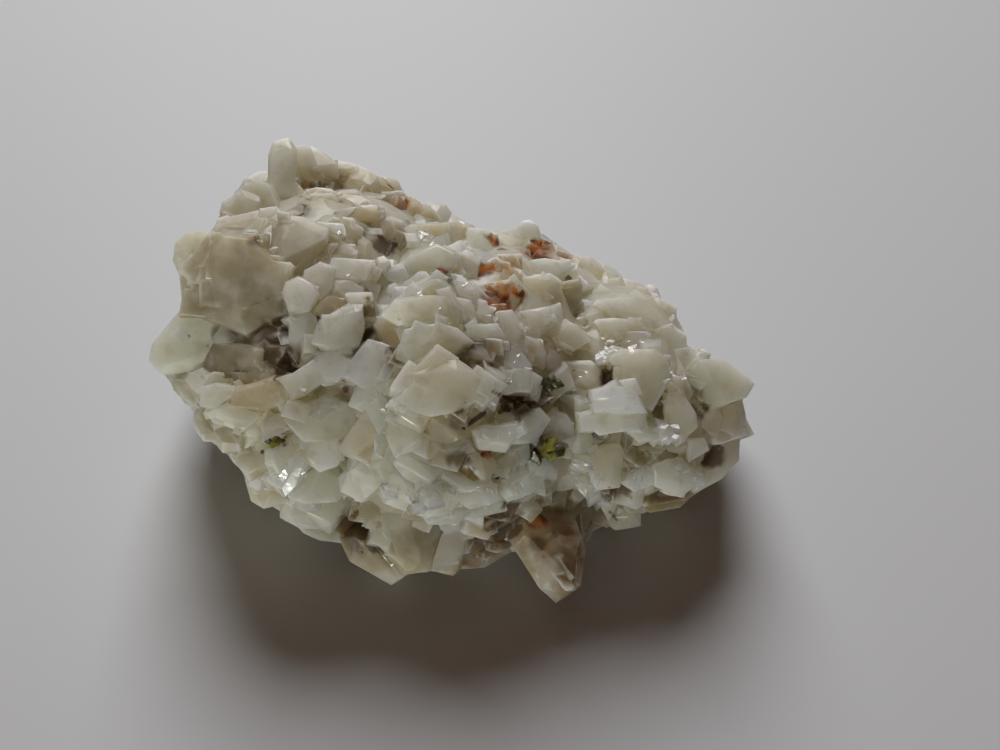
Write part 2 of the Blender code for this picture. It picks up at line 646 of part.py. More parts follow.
def main():
    clear_scene()
    rng = random.Random(SEED)
    albite = new_collection("albite")
    grown = new_collection("crystals_to_join")
    cutters = new_collection("cutters")

    pale = material("albite_pale", (0.56, 0.55, 0.47), 0.38, transmission=0.15)
    green = material("green_crystal", (0.24, 0.27, 0.05), 0.3, ior=1.7)
    dark = material("green_crystal_dark", (0.09, 0.11, 0.03), 0.35, ior=1.7)

    # the massive lobes, and the crystals rooted in them
    bodies = [
        lobe(f"lobe_{name}", centre, half, albite)
        for (name, *_), (centre, half) in zip(LOBES, BODY)
    ]
    for other in bodies[1:]:
        grown.objects.link(other)
        albite.objects.unlink(other)
        as_helper(other)
    for name, lift, outline in CRYSTALS:
        points = prism_points(outline, lift, rng)
        as_helper(add_object(f"crystal_{name}", hull(points), grown))
    seeded_blocks(grown, rng)

    cluster = bodies[0]
    cluster.name = cluster.data.name = "albite_cluster"
    cluster.data.materials.append(pale)
    boolean(cluster, "UNION", collection=grown)
    joined(cluster)

    # broken off flat underneath
    bm = bmesh.new()
    bmesh.ops.create_cube(bm, size=1.0)
    bmesh.ops.scale(bm, vec=(0.2, 0.2, 0.05), verts=bm.verts)
    bmesh.ops.translate(bm, vec=(0, 0, -0.025), verts=bm.verts)
    base = add_object("base_cut", bm, cutters)
    as_helper(base)
    boolean(cluster, "DIFFERENCE", base)

    # the green crystals, each in its own pocket
    for name, lift, outline, mat in GREEN:
        points = prism_points(
            outline, lift, rng, spread=1.0
        )
        obj = add_object(name, hull(points), albite, green if mat == "green" else dark)
        pocket = grown_pocket(points, f"pocket_{name}", cutters)
        boolean(cluster, "DIFFERENCE", pocket)
        obj.data.shade_flat()


main()
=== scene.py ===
# The visual model of an albite specimen: one intergrown cluster of milky, blocky crystals with
# rusty stains in its hollows, and three small crystals of a green mineral.
#
# Lengths are in millimetres inside the functions and in metres in the scene.

import json
import math
import random

import bmesh
import bpy
import numpy as np
from mathutils import Matrix, Vector, noise
from mathutils.bvhtree import BVHTree
from mathutils.geometry import convex_hull_2d
from mathutils.kdtree import KDTree

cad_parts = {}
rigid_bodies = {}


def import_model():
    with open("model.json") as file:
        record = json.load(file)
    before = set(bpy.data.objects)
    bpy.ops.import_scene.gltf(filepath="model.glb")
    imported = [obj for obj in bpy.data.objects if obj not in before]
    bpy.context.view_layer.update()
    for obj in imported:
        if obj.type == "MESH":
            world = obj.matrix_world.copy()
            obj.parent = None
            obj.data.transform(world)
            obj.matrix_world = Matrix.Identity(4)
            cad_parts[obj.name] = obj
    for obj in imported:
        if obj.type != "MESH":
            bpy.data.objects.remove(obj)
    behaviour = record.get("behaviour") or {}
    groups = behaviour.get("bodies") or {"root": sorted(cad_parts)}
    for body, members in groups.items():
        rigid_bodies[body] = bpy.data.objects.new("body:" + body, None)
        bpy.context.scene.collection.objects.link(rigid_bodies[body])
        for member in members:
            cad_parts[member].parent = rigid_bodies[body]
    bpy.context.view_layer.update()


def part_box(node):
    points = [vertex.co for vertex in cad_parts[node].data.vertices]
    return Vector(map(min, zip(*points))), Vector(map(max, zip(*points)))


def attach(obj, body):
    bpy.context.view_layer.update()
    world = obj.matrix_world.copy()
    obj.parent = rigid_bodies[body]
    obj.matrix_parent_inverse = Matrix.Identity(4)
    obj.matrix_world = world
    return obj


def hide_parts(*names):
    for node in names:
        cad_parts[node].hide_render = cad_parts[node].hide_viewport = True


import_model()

# ---------------------------------------------------------------- dimensions
MM = 0.001
SEED = 11

# The oblique view that the outlines are measured in: 1/12.1 mm at the middle of the specimen.
UNIT = 1 / 12.1
EYE = 114.8
AZIMUTH, ELEVATION = math.radians(20), math.radians(50)
MIDDLE = Vector((4.53, 1.3, 11.3))
RIGHT = Vector((math.cos(AZIMUTH), math.sin(AZIMUTH), 0))
UP = Vector(
    (
        -math.sin(AZIMUTH) * math.sin(ELEVATION),
        math.cos(AZIMUTH) * math.sin(ELEVATION),
        math.cos(ELEVATION),
    )
)
TOWARDS = Vector(
    (
        math.sin(AZIMUTH) * math.cos(ELEVATION),
        -math.cos(AZIMUTH) * math.cos(ELEVATION),
        math.sin(ELEVATION),
    )
)

# Lobes of massive albite: centre in the view, height of the centre, half sizes along X, Y, Z.
LOBES = (
    ("left", (318, 350), 11.2, (12.3, 15.9, 12.0)),
    ("middle", (452, 386), 10.7, (13.0, 13.5, 11.6)),
    ("right", (608, 398), 9.6, (10.9, 9.5, 8.8)),
)

FINE = 1.1  # longest edge of the surface mesh

# The outline of the whole cluster in the view.
SILHOUETTE = [
    (272, 149), (272, 142), (278, 137), (288, 137), (293, 143), (310, 149), (320, 150),
    (330, 157), (340, 160), (358, 165), (368, 169), (374, 175), (380, 172), (380, 178),
    (392, 178), (400, 183), (403, 188), (407, 195), (418, 196), (421, 202), (444, 203),
    (453, 213), (460, 219), (467, 222), (475, 224), (481, 223), (487, 229), (505, 228),
    (520, 226), (522, 221), (530, 220), (537, 223), (541, 230), (555, 237), (560, 242),
    (565, 250), (570, 253), (588, 255), (600, 260), (607, 262), (613, 268), (620, 275),
    (640, 283), (645, 287), (650, 284), (656, 286), (659, 292), (664, 298), (670, 303),
    (677, 307), (678, 312), (676, 320), (679, 327), (686, 328), (687, 333), (685, 340),
    (687, 346), (697, 346), (705, 348), (711, 352), (714, 358), (724, 359), (732, 364),
    (743, 370), (750, 377), (755, 383), (752, 390), (746, 396), (743, 400), (744, 410),
    (746, 420), (750, 430), (753, 434), (750, 437), (738, 440), (737, 450), (738, 460),
    (732, 468), (722, 478), (710, 488), (695, 493), (685, 504), (680, 507), (665, 508),
    (650, 512), (641, 515), (640, 525), (630, 527), (612, 531), (600, 528), (592, 533),
    (588, 540), (584, 548), (583, 560), (581, 575), (580, 585), (572, 595), (565, 600),
    (556, 601), (547, 597), (540, 588), (530, 575), (522, 560), (517, 548), (505, 556),
    (495, 560), (485, 568), (475, 565), (461, 568), (453, 575), (440, 572), (420, 572),
    (408, 573), (398, 580), (390, 584), (384, 582), (375, 576), (360, 568), (350, 560),
    (344, 552), (344, 543), (335, 543), (320, 541), (309, 540), (303, 533), (300, 528),
    (282, 522), (279, 518), (286, 502), (280, 508), (262, 508), (252, 500), (245, 480),
    (240, 466), (232, 466), (230, 458), (222, 453), (218, 446), (214, 441), (203, 441),
    (195, 433), (193, 425), (195, 412), (187, 408), (182, 400), (176, 394), (171, 392),
    (170, 385), (168, 380), (160, 373), (156, 366), (150, 360), (149, 353), (153, 343),
    (160, 334), (170, 322), (180, 311), (187, 308), (187, 300), (184, 290), (181, 280),
    (176, 272), (173, 260), (174, 250), (176, 242), (182, 235), (187, 231), (200, 230),
    (212, 231), (215, 225), (216, 219), (219, 213), (222, 201), (228, 195), (235, 190),
    (240, 184), (244, 179), (250, 174), (258, 171), (268, 171), (269, 165), (268, 155),
]

# The crystals of the upper front: name, kind of colour, how far each stands proud of the
# lobes (mm), and the outline that it shows in the view.
CRYSTALS = (
    ("A1", "s", 2.2, [
        (212, 236), (240, 237), (252, 240), (257, 247), (268, 262), (283, 275), (283, 290),
        (280, 310), (262, 330), (245, 330), (230, 318), (215, 314), (200, 314), (188, 308),
        (187, 298), (181, 280), (180, 272), (187, 262), (198, 248),
    ]),
    ("A2", "g", 0.0, [
        (175, 243), (187, 231), (200, 230), (212, 232), (212, 236), (198, 248), (187, 262),
        (180, 273), (173, 260),
    ]),
    ("A3", "g", 0.6, [
        (219, 213), (222, 201), (232, 193), (240, 190), (258, 196), (258, 210), (240, 215),
        (230, 222),
    ]),
    ("A4", "t", -0.4, [
        (218, 220), (230, 224), (240, 215), (256, 212), (254, 235), (228, 238), (213, 235),
    ]),
    ("A5", "g", 0.0, [(240, 188), (244, 179), (258, 171), (268, 172), (268, 190), (250, 192)]),
    ("B1", "g", 1.0, [
        (272, 142), (278, 137), (288, 137), (293, 143), (292, 160), (296, 190), (285, 197),
        (270, 195), (268, 172), (268, 155),
    ]),
    ("B2", "c", 0.4, [
        (293, 146), (310, 149), (330, 157), (335, 163), (312, 167), (300, 166), (292, 163),
    ]),
    ("B3", "t", -0.2, [(318, 157), (345, 162), (358, 165), (345, 175), (330, 170)]),
    ("B4", "t", 0.2, [(296, 165), (312, 168), (330, 172), (331, 187), (305, 190), (296, 188)]),
    ("B5", "t", 0.0, [(331, 172), (343, 172), (345, 185), (331, 187)]),
    ("B6", "g", 0.6, [(345, 175), (358, 166), (368, 169), (377, 176), (380, 188), (352, 190)]),
    ("B7", "t", 0.6, [(307, 190), (316, 187), (330, 189), (337, 193), (320, 196), (308, 195)]),
    ("B8", "c", 0.2, [(312, 194), (332, 194), (340, 200), (330, 206), (311, 201)]),
    ("B10", "c", 0.5, [(335, 198), (345, 195), (358, 196), (368, 200), (362, 208), (348, 209)]),
    ("B11", "t", 0.7, [(358, 207), (372, 205), (384, 208), (380, 218), (360, 228), (350, 222)]),
    ("B12", "c", 0.2, [(380, 188), (380, 178), (392, 178), (398, 181), (402, 190), (383, 191)]),
    ("B13", "s", 0.5, [(383, 192), (402, 191), (407, 196), (400, 206), (385, 206)]),
    ("B14", "r", 0.0, [(395, 200), (412, 196), (420, 201), (418, 213), (400, 213)]),
    ("B15", "g", 0.7, [(421, 203), (432, 202), (446, 204), (452, 212), (450, 223), (428, 223)]),
    ("B16", "c", 0.3, [(452, 213), (466, 222), (467, 240), (450, 250), (440, 240)]),
    ("C1", "s", 1.0, [
        (284, 217), (300, 218), (312, 222), (322, 226), (328, 228), (320, 253), (303, 272),
        (298, 278), (284, 270), (272, 260), (270, 250), (278, 236), (274, 227),
    ]),
    ("C2", "c", 0.2, [(256, 247), (262, 245), (268, 248), (268, 257), (257, 253)]),
    ("C3", "p", 0.0, [(265, 230), (271, 226), (278, 233), (277, 242), (263, 241)]),
    ("C5", "c", 0.3, [(260, 209), (276, 207), (277, 226), (259, 222)]),
    ("C7", "t", 0.0, [
        (320, 236), (332, 236), (345, 245), (358, 250), (355, 261), (338, 263), (322, 251),
    ]),
    ("C8", "s", 0.6, [(322, 225), (335, 219), (350, 221), (362, 228), (358, 246), (334, 239)]),
    ("D2", "s", 0.2, [
        (382, 220), (392, 218), (402, 222), (406, 243), (400, 251), (389, 253), (378, 243),
    ]),
    ("D4", "c", 0.8, [(378, 258), (384, 256), (391, 262), (387, 269), (379, 270)]),
    ("D5", "v", 1.0, [
        (416, 232), (422, 229), (430, 229), (437, 240), (430, 245), (418, 247), (414, 240),
    ]),
    ("D6", "g", 0.8, [
        (402, 262), (418, 255), (436, 245), (451, 252), (456, 262), (440, 275), (415, 281),
        (401, 269),
    ]),
    ("D7", "l", 0.0, [(385, 270), (402, 263), (409, 275), (400, 286), (387, 279)]),
    ("D8", "v", 0.7, [(371, 264), (382, 268), (377, 280), (368, 277)]),
    ("E1", "v", 1.7, [
        (286, 283), (298, 277), (303, 283), (314, 286), (317, 293), (314, 303), (308, 310),
        (296, 313), (289, 310), (284, 293),
    ]),
    ("E2", "w", 0.9, [
        (303, 283), (305, 271), (320, 263), (332, 267), (331, 286), (320, 298), (312, 296),
    ]),
    ("E3", "g", 0.6, [(325, 258), (345, 261), (373, 261), (370, 276), (350, 281), (333, 279)]),
    ("E4", "c", 0.4, [(335, 281), (350, 281), (363, 288), (361, 301), (345, 304), (328, 293)]),
    ("E5", "t", 0.2, [(322, 296), (335, 297), (347, 304), (343, 317), (330, 323), (309, 312)]),
    ("E6", "c", 1.6, [
        (343, 308), (350, 304), (362, 304), (364, 310), (363, 330), (358, 345), (345, 351),
        (330, 351), (313, 343), (320, 322), (330, 314),
    ]),
    ("E7", "l", 0.0, [
        (290, 315), (310, 313), (319, 322), (312, 346), (305, 361), (296, 367), (289, 352),
    ]),
    ("E8", "b", -1.6, [
        (262, 286), (286, 292), (290, 318), (288, 345), (272, 356), (256, 344), (262, 330),
    ]),
    ("G1", "u", 1.6, [
        (149, 353), (153, 343), (160, 334), (170, 322), (180, 311), (188, 308), (200, 314),
        (220, 314), (230, 322), (243, 331), (247, 338), (240, 343), (215, 342), (210, 346),
        (205, 361), (195, 368), (180, 373), (160, 373), (150, 360),
    ]),
    ("G2", "d", -0.6, [(208, 344), (240, 344), (262, 350), (260, 378), (225, 378), (206, 368)]),
    ("G3", "p", 0.4, [(189, 373), (200, 369), (208, 375), (206, 386), (198, 393), (186, 381)]),
    ("G4", "s", 0.0, [(170, 380), (180, 374), (189, 378), (201, 400), (190, 406), (176, 394)]),
    ("G5", "g", -0.2, [(206, 376), (225, 373), (239, 383), (220, 388), (205, 386)]),
    ("G6", "s", -0.6, [(258, 362), (270, 360), (286, 370), (281, 380), (256, 381)]),
    ("H1", "w", 0.8, [(202, 388), (215, 384), (233, 386), (235, 396), (215, 409), (201, 405)]),
    ("H2", "t", 0.2, [(233, 388), (262, 382), (281, 379), (286, 400), (262, 410), (233, 406)]),
    ("H3", "c", 0.6, [(284, 380), (300, 369), (313, 361), (327, 379), (306, 394), (291, 401)]),
    ("H4", "c", 0.0, [(274, 394), (292, 397), (302, 405), (281, 413)]),
    ("H5", "c", 0.6, [(207, 413), (228, 403), (250, 410), (263, 416), (241, 431), (214, 421)]),
    ("H6", "g", 0.2, [(261, 417), (276, 414), (294, 411), (284, 427), (262, 430)]),
    ("H7", "s", 0.0, [(195, 412), (203, 408), (215, 425), (215, 441), (203, 442), (193, 426)]),
    ("H8", "s", 0.2, [(214, 430), (229, 428), (242, 435), (239, 451), (222, 453), (213, 441)]),
    ("H9", "s", 0.0, [(231, 458), (250, 447), (263, 455), (267, 471), (250, 481), (240, 467)]),
    ("H11", "w", 0.6, [
        (266, 452), (278, 446), (291, 441), (295, 450), (286, 473), (275, 476), (266, 463),
    ]),
    ("H12", "p", 0.2, [(261, 419), (270, 413), (291, 428), (282, 432), (262, 441)]),
    ("I1", "c", 0.9, [
        (294, 410), (325, 399), (356, 408), (359, 421), (339, 441), (305, 441), (287, 420),
    ]),
    ("I2", "w", 1.3, [(299, 437), (338, 440), (341, 455), (336, 466), (320, 471), (299, 456)]),
    ("I3", "v", 1.7, [(299, 454), (306, 468), (301, 481), (286, 496), (279, 479), (292, 460)]),
    ("I4", "l", 0.2, [(267, 472), (281, 474), (282, 489), (261, 479)]),
    ("I5", "t", -0.6, [(245, 480), (262, 481), (273, 490), (286, 502), (264, 509), (251, 501)]),
    ("I6", "g", 1.0, [
        (299, 480), (318, 469), (336, 467), (346, 490), (336, 501), (305, 503), (291, 498),
    ]),
    ("I7", "l", 0.5, [(285, 501), (305, 502), (319, 515), (323, 529), (300, 529), (279, 518)]),
    ("I8", "w", 0.7, [(305, 502), (345, 494), (359, 500), (339, 524), (330, 533), (309, 516)]),
    ("I9", "g", 0.0, [(299, 527), (335, 527), (344, 543), (320, 541), (303, 533)]),
    ("I10", "w", 1.2, [(339, 478), (360, 461), (376, 464), (379, 486), (361, 501), (342, 491)]),
    ("I11", "t", 0.5, [
        (344, 440), (365, 411), (381, 421), (386, 435), (379, 451), (361, 461), (337, 451),
    ]),
    ("I12", "u", 0.9, [(349, 405), (358, 384), (376, 387), (386, 400), (381, 421), (367, 413)]),
    ("J1", "b", -2.2, [
        (361, 502), (337, 528), (343, 541), (362, 550), (382, 550), (374, 530), (368, 515),
    ]),
    ("J2", "t", 0.6, [
        (342, 541), (350, 538), (378, 550), (394, 557), (409, 573), (398, 581), (391, 585),
        (375, 577), (362, 570), (350, 562), (344, 552),
    ]),
    ("J3", "c", 0.4, [(376, 553), (382, 548), (387, 552), (381, 563)]),
    ("J4", "s", 1.5, [
        (361, 502), (370, 494), (400, 499), (406, 514), (441, 524), (431, 545), (427, 572),
        (404, 571), (389, 552), (375, 540), (366, 518),
    ]),
    ("J5", "v", 2.3, [
        (429, 528), (445, 523), (464, 522), (467, 533), (463, 553), (452, 563), (427, 569),
        (429, 548),
    ]),
    ("J6", "r", -0.4, [(428, 570), (446, 564), (462, 556), (461, 569), (453, 576), (440, 573)]),
    ("J7", "v", 1.2, [(380, 490), (393, 483), (403, 492), (401, 501), (383, 498)]),
    ("J8", "v", 2.4, [(423, 488), (437, 485), (441, 500), (437, 505), (422, 506), (419, 500)]),
    ("J10", "w", 0.7, [(439, 487), (455, 489), (463, 500), (446, 516), (425, 519), (421, 506)]),
    ("J11", "l", 0.5, [(424, 518), (445, 514), (471, 511), (457, 524), (430, 525)]),
    ("J12", "w", 0.8, [(456, 492), (480, 487), (496, 489), (498, 501), (470, 509), (459, 501)]),
    ("J13", "t", 0.2, [(469, 510), (498, 503), (493, 531), (487, 539), (465, 533)]),
    ("J14", "l", 0.9, [
        (381, 474), (395, 469), (411, 479), (421, 490), (419, 506), (402, 501), (392, 485),
    ]),
    ("J15", "g", 0.8, [
        (394, 464), (400, 454), (418, 454), (433, 460), (443, 470), (426, 488), (404, 476),
    ]),
    ("J16", "w", 0.8, [(441, 470), (455, 474), (479, 488), (460, 492), (439, 481)]),
    ("K1", "c", 2.0, [
        (403, 378), (420, 376), (436, 362), (453, 360), (470, 369), (492, 386), (478, 400),
        (462, 407), (446, 405), (433, 409), (418, 411), (401, 405), (397, 392),
    ]),
    ("K2", "c", 1.3, [
        (407, 330), (420, 325), (440, 324), (455, 329), (471, 342), (462, 351), (440, 356),
        (420, 361), (398, 358), (404, 340),
    ]),
    ("K3a", "g", 0.9, [
        (399, 292), (410, 287), (425, 279), (437, 276), (446, 282), (453, 292), (446, 298),
        (420, 299),
    ]),
    ("K3b", "v", 1.2, [
        (397, 300), (405, 291), (413, 289), (433, 302), (429, 313), (410, 315), (401, 309),
    ]),
    ("K3c", "c", 1.2, [(384, 315), (398, 299), (452, 295), (459, 310), (456, 326), (408, 331)]),
    ("K3d", "t", 0.2, [(372, 328), (385, 314), (413, 326), (405, 349), (384, 346)]),
    ("K5", "l", 1.1, [
        (368, 341), (378, 344), (401, 365), (398, 379), (385, 386), (372, 393), (351, 379),
        (344, 370), (357, 355),
    ]),
    ("K6", "v", 1.0, [
        (319, 353), (335, 351), (346, 357), (349, 366), (338, 381), (327, 381), (313, 362),
    ]),
    ("K7", "p", 0.3, [(337, 378), (352, 377), (371, 395), (355, 400), (337, 389)]),
    ("K9", "u", 0.6, [(367, 396), (383, 389), (389, 425), (378, 433), (364, 408)]),
    ("K10", "c", 0.9, [
        (408, 370), (415, 364), (430, 352), (439, 348), (437, 366), (431, 372), (418, 380),
    ]),
    ("K11", "c", 0.4, [(387, 380), (406, 377), (401, 406), (384, 391)]),
    ("K12", "c", 0.8, [
        (387, 405), (402, 404), (419, 412), (416, 436), (421, 446), (395, 456), (384, 430),
    ]),
    ("K13", "g", 0.3, [(374, 425), (388, 427), (393, 440), (375, 451)]),
    ("K14", "t", 0.0, [
        (414, 422), (425, 410), (462, 408), (488, 408), (478, 426), (462, 434), (450, 457),
        (430, 458), (415, 452),
    ]),
    ("L3", "s", 0.5, [(439, 445), (455, 439), (468, 439), (473, 450), (452, 461)]),
    ("L5", "w", 1.1, [(472, 431), (485, 427), (515, 425), (519, 432), (505, 451), (480, 449)]),
    ("L7", "t", 0.4, [(474, 455), (490, 454), (496, 465), (486, 486), (469, 466)]),
    ("L8", "s", 0.3, [(494, 460), (515, 449), (519, 462), (509, 479), (494, 473)]),
    ("L10", "l", 0.4, [(502, 480), (515, 477), (526, 495), (508, 501), (499, 492)]),
    ("L11", "o", -0.6, [(499, 500), (530, 496), (541, 510), (531, 521), (510, 509)]),
    ("L13", "r", -0.4, [
        (466, 531), (492, 529), (516, 529), (516, 548), (505, 556), (485, 568), (461, 568),
        (463, 540),
    ]),
    ("M2", "u", 1.0, [
        (514, 478), (525, 467), (535, 457), (549, 462), (553, 470), (538, 486), (530, 494),
        (521, 493),
    ]),
    ("M4", "u", 0.8, [(506, 420), (520, 411), (540, 409), (549, 420), (536, 441), (514, 443)]),
    ("M5", "b", -0.8, [(504, 400), (540, 399), (553, 397), (531, 413), (511, 411)]),
    ("M6", "w", 0.9, [(502, 378), (515, 369), (530, 371), (541, 378), (536, 394), (504, 393)]),
    ("M9", "w", 0.7, [(547, 418), (555, 411), (566, 414), (573, 425), (571, 441), (551, 436)]),
    ("M10", "s", 0.5, [(559, 395), (575, 397), (581, 410), (573, 441), (564, 413)]),
    ("N1", "l", 0.5, [(452, 275), (462, 276), (481, 292), (479, 303), (457, 293)]),
    ("N2", "g", 0.4, [(451, 296), (470, 301), (479, 320), (470, 326), (455, 311)]),
    ("N3", "w", 0.6, [(479, 300), (487, 301), (493, 320), (485, 323), (477, 316)]),
    ("N4", "w", 0.8, [(471, 325), (497, 324), (503, 335), (485, 343), (467, 336)]),
    ("N5", "o", 0.5, [(454, 358), (470, 341), (501, 344), (501, 369), (470, 370)]),
    ("N6", "p", 0.8, [(474, 367), (503, 367), (508, 376), (503, 382), (490, 384), (478, 376)]),
    ("N7", "l", 0.6, [(501, 344), (516, 347), (531, 365), (526, 373), (502, 373)]),
    ("N8", "w", 0.7, [(499, 312), (512, 311), (523, 328), (518, 340), (508, 343), (504, 330)]),
    ("N9", "t", 0.4, [(521, 334), (540, 341), (546, 352), (544, 366), (527, 363)]),
    ("N10", "c", 0.9, [(522, 312), (550, 307), (553, 318), (552, 326), (539, 336), (529, 324)]),
    ("N11", "c", 0.9, [(549, 340), (565, 321), (576, 325), (589, 340), (570, 353)]),
    ("N13", "o", 0.2, [
        (559, 290), (568, 282), (579, 280), (581, 311), (575, 323), (559, 319), (554, 308),
    ]),
    ("N14", "l", 0.5, [(579, 299), (588, 301), (598, 305), (588, 317)]),
    ("N15", "o", 0.2, [(579, 317), (613, 318), (590, 336)]),
    ("N16", "c", 0.6, [(524, 278), (550, 274), (561, 282), (551, 309), (527, 296)]),
    ("N18", "t", 0.7, [(486, 283), (515, 279), (523, 288), (500, 298)]),
    ("N20", "r", -0.2, [(499, 255), (521, 254), (522, 270), (503, 274)]),
    ("N21", "r", 0.0, [(486, 235), (498, 234), (499, 248), (487, 248)]),
    ("N22", "r", 0.2, [(529, 244), (552, 242), (554, 259), (532, 261)]),
    ("N24", "l", 0.6, [(454, 255), (470, 249), (481, 258), (476, 276), (454, 271)]),
    ("N25", "g", 0.3, [(469, 228), (487, 230), (501, 240), (486, 253), (468, 246)]),
    ("N26", "g", 0.6, [(521, 262), (545, 259), (576, 264), (561, 279), (539, 279)]),
    ("N27", "c", 0.5, [(574, 255), (590, 256), (606, 272), (590, 281)]),
    ("N28", "g", 0.2, [(497, 232), (520, 227), (531, 240), (515, 251)]),
    ("N29", "g", 0.4, [(519, 227), (522, 221), (530, 220), (538, 225), (542, 241), (532, 243)]),
    ("O1", "c", 0.4, [(599, 261), (613, 267), (621, 276), (619, 291), (599, 279)]),
    ("O2", "p", 0.4, [(621, 278), (635, 281), (644, 288), (630, 299)]),
    ("O3", "g", 0.3, [(644, 288), (650, 284), (657, 287), (661, 297), (645, 301)]),
    ("O4", "c", 0.9, [(599, 300), (640, 297), (661, 315), (650, 326), (612, 317)]),
    ("O5", "g", 0.3, [(659, 298), (677, 307), (677, 320), (661, 319)]),
    ("O6", "c", 0.6, [(599, 320), (640, 321), (646, 332), (612, 346)]),
    ("O7", "w", 0.5, [(584, 285), (597, 284), (601, 298), (583, 296)]),
    ("O8", "g", 0.3, [(654, 330), (670, 324), (686, 335), (686, 346), (664, 349)]),
    ("P1", "v", 1.2, [(596, 355), (612, 346), (623, 348), (612, 361), (597, 363)]),
    ("P2", "g", 1.4, [
        (612, 359), (622, 351), (655, 351), (667, 362), (669, 378), (661, 398), (652, 407),
        (637, 403), (629, 390), (617, 375),
    ]),
    ("P3", "o", -0.6, [(601, 362), (617, 364), (620, 389), (602, 391)]),
    ("P4", "v", 2.2, [
        (593, 391), (605, 388), (632, 387), (638, 398), (642, 411), (620, 414), (596, 415),
    ]),
    ("P5", "o", -0.6, [(591, 431), (611, 429), (601, 447)]),
    ("P6", "c", 0.8, [(593, 449), (618, 445), (623, 452), (619, 486), (597, 489), (591, 465)]),
    ("P7", "v", 2.0, [(572, 466), (575, 457), (586, 456), (595, 460), (593, 469), (583, 473)]),
    ("P8", "v", 1.9, [(575, 485), (583, 479), (593, 480), (601, 489), (589, 501), (583, 494)]),
    ("P8b", "w", 1.2, [(564, 505), (575, 489), (584, 498), (566, 513)]),
    ("P9", "c", 0.7, [(621, 425), (650, 421), (666, 440), (640, 442)]),
    ("P10", "o", -0.5, [(621, 445), (660, 435), (669, 445), (650, 463), (629, 469)]),
    ("P11", "v", 1.3, [(657, 420), (667, 424), (677, 437), (668, 444), (661, 437)]),
    ("P12", "c", 0.7, [(667, 395), (680, 391), (695, 412), (697, 426), (680, 442), (666, 412)]),
    ("P13", "c", 0.6, [(667, 378), (683, 377), (684, 397), (669, 396)]),
    ("P14", "o", -0.4, [(648, 408), (665, 401), (676, 405), (660, 422)]),
    ("P15", "g", 0.8, [
        (689, 385), (692, 370), (700, 361), (724, 359), (743, 370), (755, 383), (746, 397),
        (725, 403), (700, 413), (689, 400),
    ]),
    ("P18", "p", 0.4, [(714, 405), (743, 401), (747, 420), (742, 439), (724, 431), (699, 421)]),
    ("P19", "c", 0.0, [(724, 430), (742, 424), (747, 420), (754, 434), (750, 437), (736, 441)]),
    ("P20", "g", 0.6, [
        (704, 465), (711, 438), (725, 431), (739, 440), (739, 460), (722, 479), (695, 494),
    ]),
    ("P21", "g", 0.3, [(689, 440), (705, 439), (709, 450), (690, 461)]),
    ("P22", "w", 1.0, [(654, 468), (670, 459), (683, 461), (701, 480), (680, 496), (657, 486)]),
    ("P23", "l", 0.8, [(629, 475), (645, 467), (656, 482), (635, 492), (621, 483)]),
    ("P24", "o", 0.0, [(635, 500), (655, 484), (693, 493), (680, 508), (650, 513)]),
    ("P26", "l", 0.4, [(601, 498), (620, 499), (609, 521)]),
    ("P27", "c", 0.6, [(617, 505), (639, 504), (641, 526), (615, 531), (606, 522)]),
    ("R1", "g", 0.8, [(574, 399), (590, 404), (593, 440), (590, 456), (577, 456), (569, 445)]),
    ("S1", "c", 0.7, [(561, 362), (590, 361), (601, 370), (601, 386), (575, 393), (559, 388)]),
    ("Q1", "a", 0.8, [
        (517, 548), (522, 530), (532, 526), (546, 534), (560, 527), (576, 529), (585, 550),
        (581, 586), (566, 600), (556, 602), (540, 588), (522, 562),
    ]),
    ("Q4", "o", 0.7, [
        (537, 500), (548, 484), (560, 477), (569, 490), (564, 518), (556, 529), (543, 521),
    ]),
    ("Q5", "l", 0.7, [(564, 512), (583, 504), (601, 515), (590, 534), (561, 529)]),
    ("Q6", "c", 0.3, [(582, 529), (593, 531), (587, 543)]),
    ("P4b", "w", 1.7, [
        (585, 413), (598, 408), (641, 406), (646, 419), (645, 427), (630, 429), (600, 434),
        (583, 422),
    ]),
)

# The green crystals: node name, lift, outline and colour.
GREEN = (
    ("green_crystal_large", 1.5, [(521, 452), (525, 446), (534, 440), (541, 437), (556, 437), (564, 447), (562, 455), (550, 463), (537, 459), (526, 460)], "green"),
    ("green_crystal_small", 1.2, [(534, 377), (553, 372), (557, 380), (557, 392), (541, 398)], "dark"),
    ("green_crystal_left", 1.2, [(264, 447), (270, 438), (276, 430), (283, 429), (287, 436), (279, 447), (268, 453)], "green"),
)

# Places in the view with deep gaps: middle and radius. No small crystals fill them.
PITS = (
    (280, 358, 13), (272, 330, 16), (275, 300, 10), (256, 241, 6), (300, 208, 13), (382, 247, 9),
    (370, 306, 8), (393, 354, 8), (505, 516, 13), (358, 535, 16), (616, 491, 9), (484, 271, 9),
    (610, 374, 7), (500, 394, 6), (457, 459, 9), (540, 546, 8), (235, 362, 6),
)

